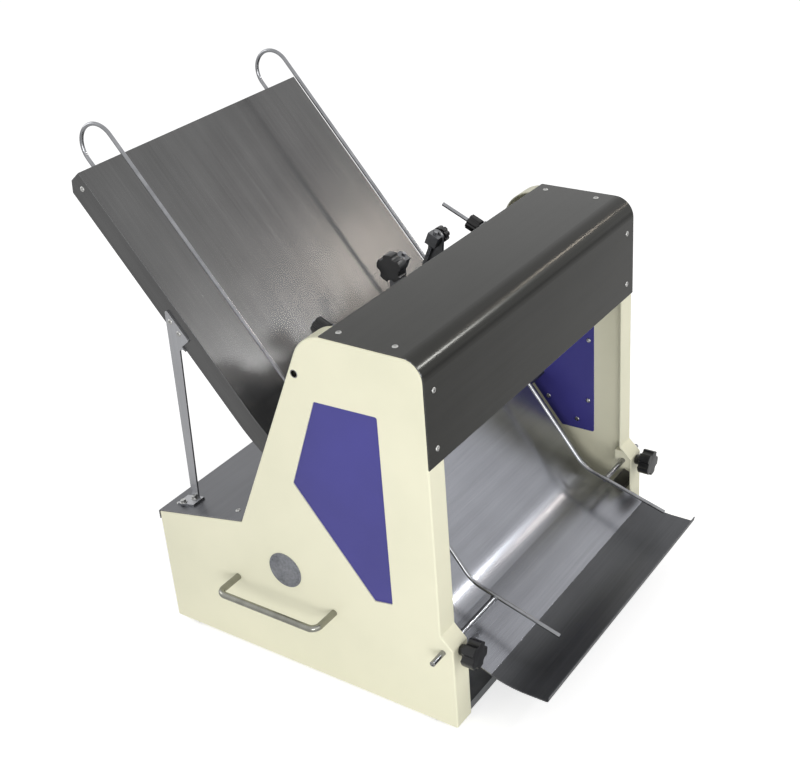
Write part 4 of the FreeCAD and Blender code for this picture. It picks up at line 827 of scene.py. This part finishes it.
class SLICER_OT_guide_ends(bpy.types.Operator):
    """Drilled outer ends and weld beads of the discharge guides"""
    bl_idname = "slicer.guide_ends"
    bl_label = "Guide ends and welds"

    def execute(self, context):
        rod_radius, wire_radius = 0.004, 0.003
        end_sunk = 0.0003  # depth of the end piece in the rod
        bead_offset = 0.0035  # from the wire's middle to the bead, outward along the rod
        for side, way in SIDES:
            node = "discharge_guide_" + side
            low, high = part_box(node)
            outer = low[0] if side == "left" else high[0]
            wire = high[0] - wire_radius if side == "left" else low[0] + wire_radius
            rod = at(0, *GUIDE_ROD)
            pattern = drilled_end(rod_radius)
            spot = Vector((outer, rod.y, rod.z)) - way * end_sunk
            end = copies(pattern, node + "_end", [(spot, way, 0.0)], degrees=30)
            finish_piece(end, "chromed_rod", "bright_rod", node)
            discard(pattern)
            pattern = weld_bead(radius=0.0042, thickness=0.0013)
            spot = Vector((wire, rod.y, rod.z)) + way * bead_offset
            bead = copies(pattern, node + "_weld", [(spot, way, 0.0)], degrees=40)
            finish_piece(bead, "grey_weld", "bright_rod", node)
            discard(pattern)
        return {"FINISHED"}


class SLICER_OT_stage(bpy.types.Operator):
    """Floor, world, lamps and camera"""
    bl_idname = "slicer.stage"
    bl_label = "Stage"

    def execute(self, context):
        deselect()
        bpy.ops.mesh.primitive_plane_add(size=16.0, location=(0.0, 0.0, 0.0))
        floor = context.object
        floor.name = "floor"
        # Floor: pale and matt, with a glow of its own for the rays that show it, so that it fades
        # into the white background.
        material, tree, output, _ = start_material("pale_floor")
        matt = add_node(tree, "ShaderNodeBsdfDiffuse", {}, {"Color": linear("#F6F6F6")})
        glow = add_node(tree, "ShaderNodeEmission", {}, {"Color": WHITE, "Strength": 0.6})
        lit = add_node(tree, "ShaderNodeAddShader", {}, {0: matt.outputs[0], 1: glow.outputs[0]})
        mixed = mix_shaders(tree, shown_rays(tree, share=0.25), matt, lit)
        tree.links.new(mixed, output.inputs["Surface"])
        floor.data.materials.append(material)

        # World: white where it is seen or mirrored, softer where it lights the machine.
        world = bpy.data.worlds.new("studio")
        context.scene.world = world
        world.use_nodes = True
        tree = world.node_tree
        tree.nodes.clear()
        white = add_node(tree, "ShaderNodeBackground", {}, {"Color": WHITE, "Strength": 1.0})
        soft = add_node(tree, "ShaderNodeBackground", {}, {"Color": WHITE, "Strength": 0.46})
        mixed = mix_shaders(tree, shown_rays(tree, share=1.0), soft, white)
        add_node(tree, "ShaderNodeOutputWorld", {}, {"Surface": mixed})

        # Place, target, side length in metres, power in watts and colour of the lamps.
        plain, warm = (1.0, 1.0, 1.0), (1.0, 0.88, 0.76)
        for name, spot, target, size, power, tint in (
            ("front_lamp", (-0.9, -2.6, 1.3), (0.0, 0.0, 0.3), 1.5, 7.0, plain),
            ("fill_lamp", (-2.2, -1.5, 0.6), (0.1, 0.0, 0.25), 1.0, 23.0, plain),
            ("spot_lamp", (1.49, -1.55, 1.62), (0.0, 0.0, 0.3), 0.2, 5.6, plain),
            ("warm_lamp", (1.89, -1.04, 1.59), (0.0, 0.0, 0.4), 0.12, 1.5, warm),
            ("back_lamp", (-1.0, 2.8, 1.5), (0.0, 0.0, 0.3), 1.5, 15.0, plain),
        ):
            lamp = bpy.data.lights.new(name, "AREA")
            lamp.size = size
            lamp.energy = power
            lamp.color = tint
            holder = bpy.data.objects.new(name, lamp)
            context.collection.objects.link(holder)
            holder.location = spot
            aim = Vector(target) - Vector(spot)
            holder.rotation_euler = aim.to_track_quat("-Z", "Y").to_euler()

        camera = bpy.data.cameras.new("view_camera")
        camera.sensor_fit = "HORIZONTAL"
        camera.sensor_width = 36.0
        camera.lens = 61.24
        holder = bpy.data.objects.new("view_camera", camera)
        context.collection.objects.link(holder)
        holder.location = (-1.44417, -1.05233, 1.32396)
        degrees = (61.3736, 4.0217, -55.9794)
        holder.rotation_euler = Euler([math.radians(turn) for turn in degrees], "XYZ")
        context.scene.camera = holder
        context.scene.view_settings.view_transform = "Standard"
        return {"FINISHED"}


class SLICER_PT_sidebar(bpy.types.Panel):
    """Sizes, colours and steps of the bread slicer"""
    bl_label = "Bread slicer"
    bl_idname = "SLICER_PT_sidebar"
    bl_space_type = "VIEW_3D"
    bl_region_type = "UI"
    bl_category = "Bread slicer"

    def draw(self, context):
        layout = self.layout
        for group in (context.scene.slicer_sizes, context.scene.slicer_colours):
            for name in group.__annotations__:
                layout.prop(group, name)
        for step in STEPS:
            layout.operator(step.bl_idname)


STEPS = (
    SLICER_OT_finishes,
    SLICER_OT_screws,
    SLICER_OT_bolts,
    SLICER_OT_star_grips,
    SLICER_OT_thumb_nuts,
    SLICER_OT_bearing_caps,
    SLICER_OT_guide_ends,
    SLICER_OT_stage,
)
CLASSES = (SlicerSizes, SlicerColours) + STEPS + (SLICER_PT_sidebar,)


def register():
    """Adds the classes and the scene's settings."""
    for item in CLASSES:
        bpy.utils.register_class(item)
    bpy.types.Scene.slicer_sizes = PointerProperty(type=SlicerSizes)
    bpy.types.Scene.slicer_colours = PointerProperty(type=SlicerColours)


def unregister():
    """Takes away what register added."""
    del bpy.types.Scene.slicer_colours
    del bpy.types.Scene.slicer_sizes
    for item in reversed(CLASSES):
        bpy.utils.unregister_class(item)


def main():
    """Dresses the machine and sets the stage."""
    register()
    bpy.ops.slicer.finishes()
    bpy.ops.slicer.screws()
    bpy.ops.slicer.bolts()
    bpy.ops.slicer.star_grips()
    bpy.ops.slicer.thumb_nuts()
    bpy.ops.slicer.bearing_caps()
    bpy.ops.slicer.guide_ends()
    bpy.ops.slicer.stage()


if __name__ == "__main__":
    main()
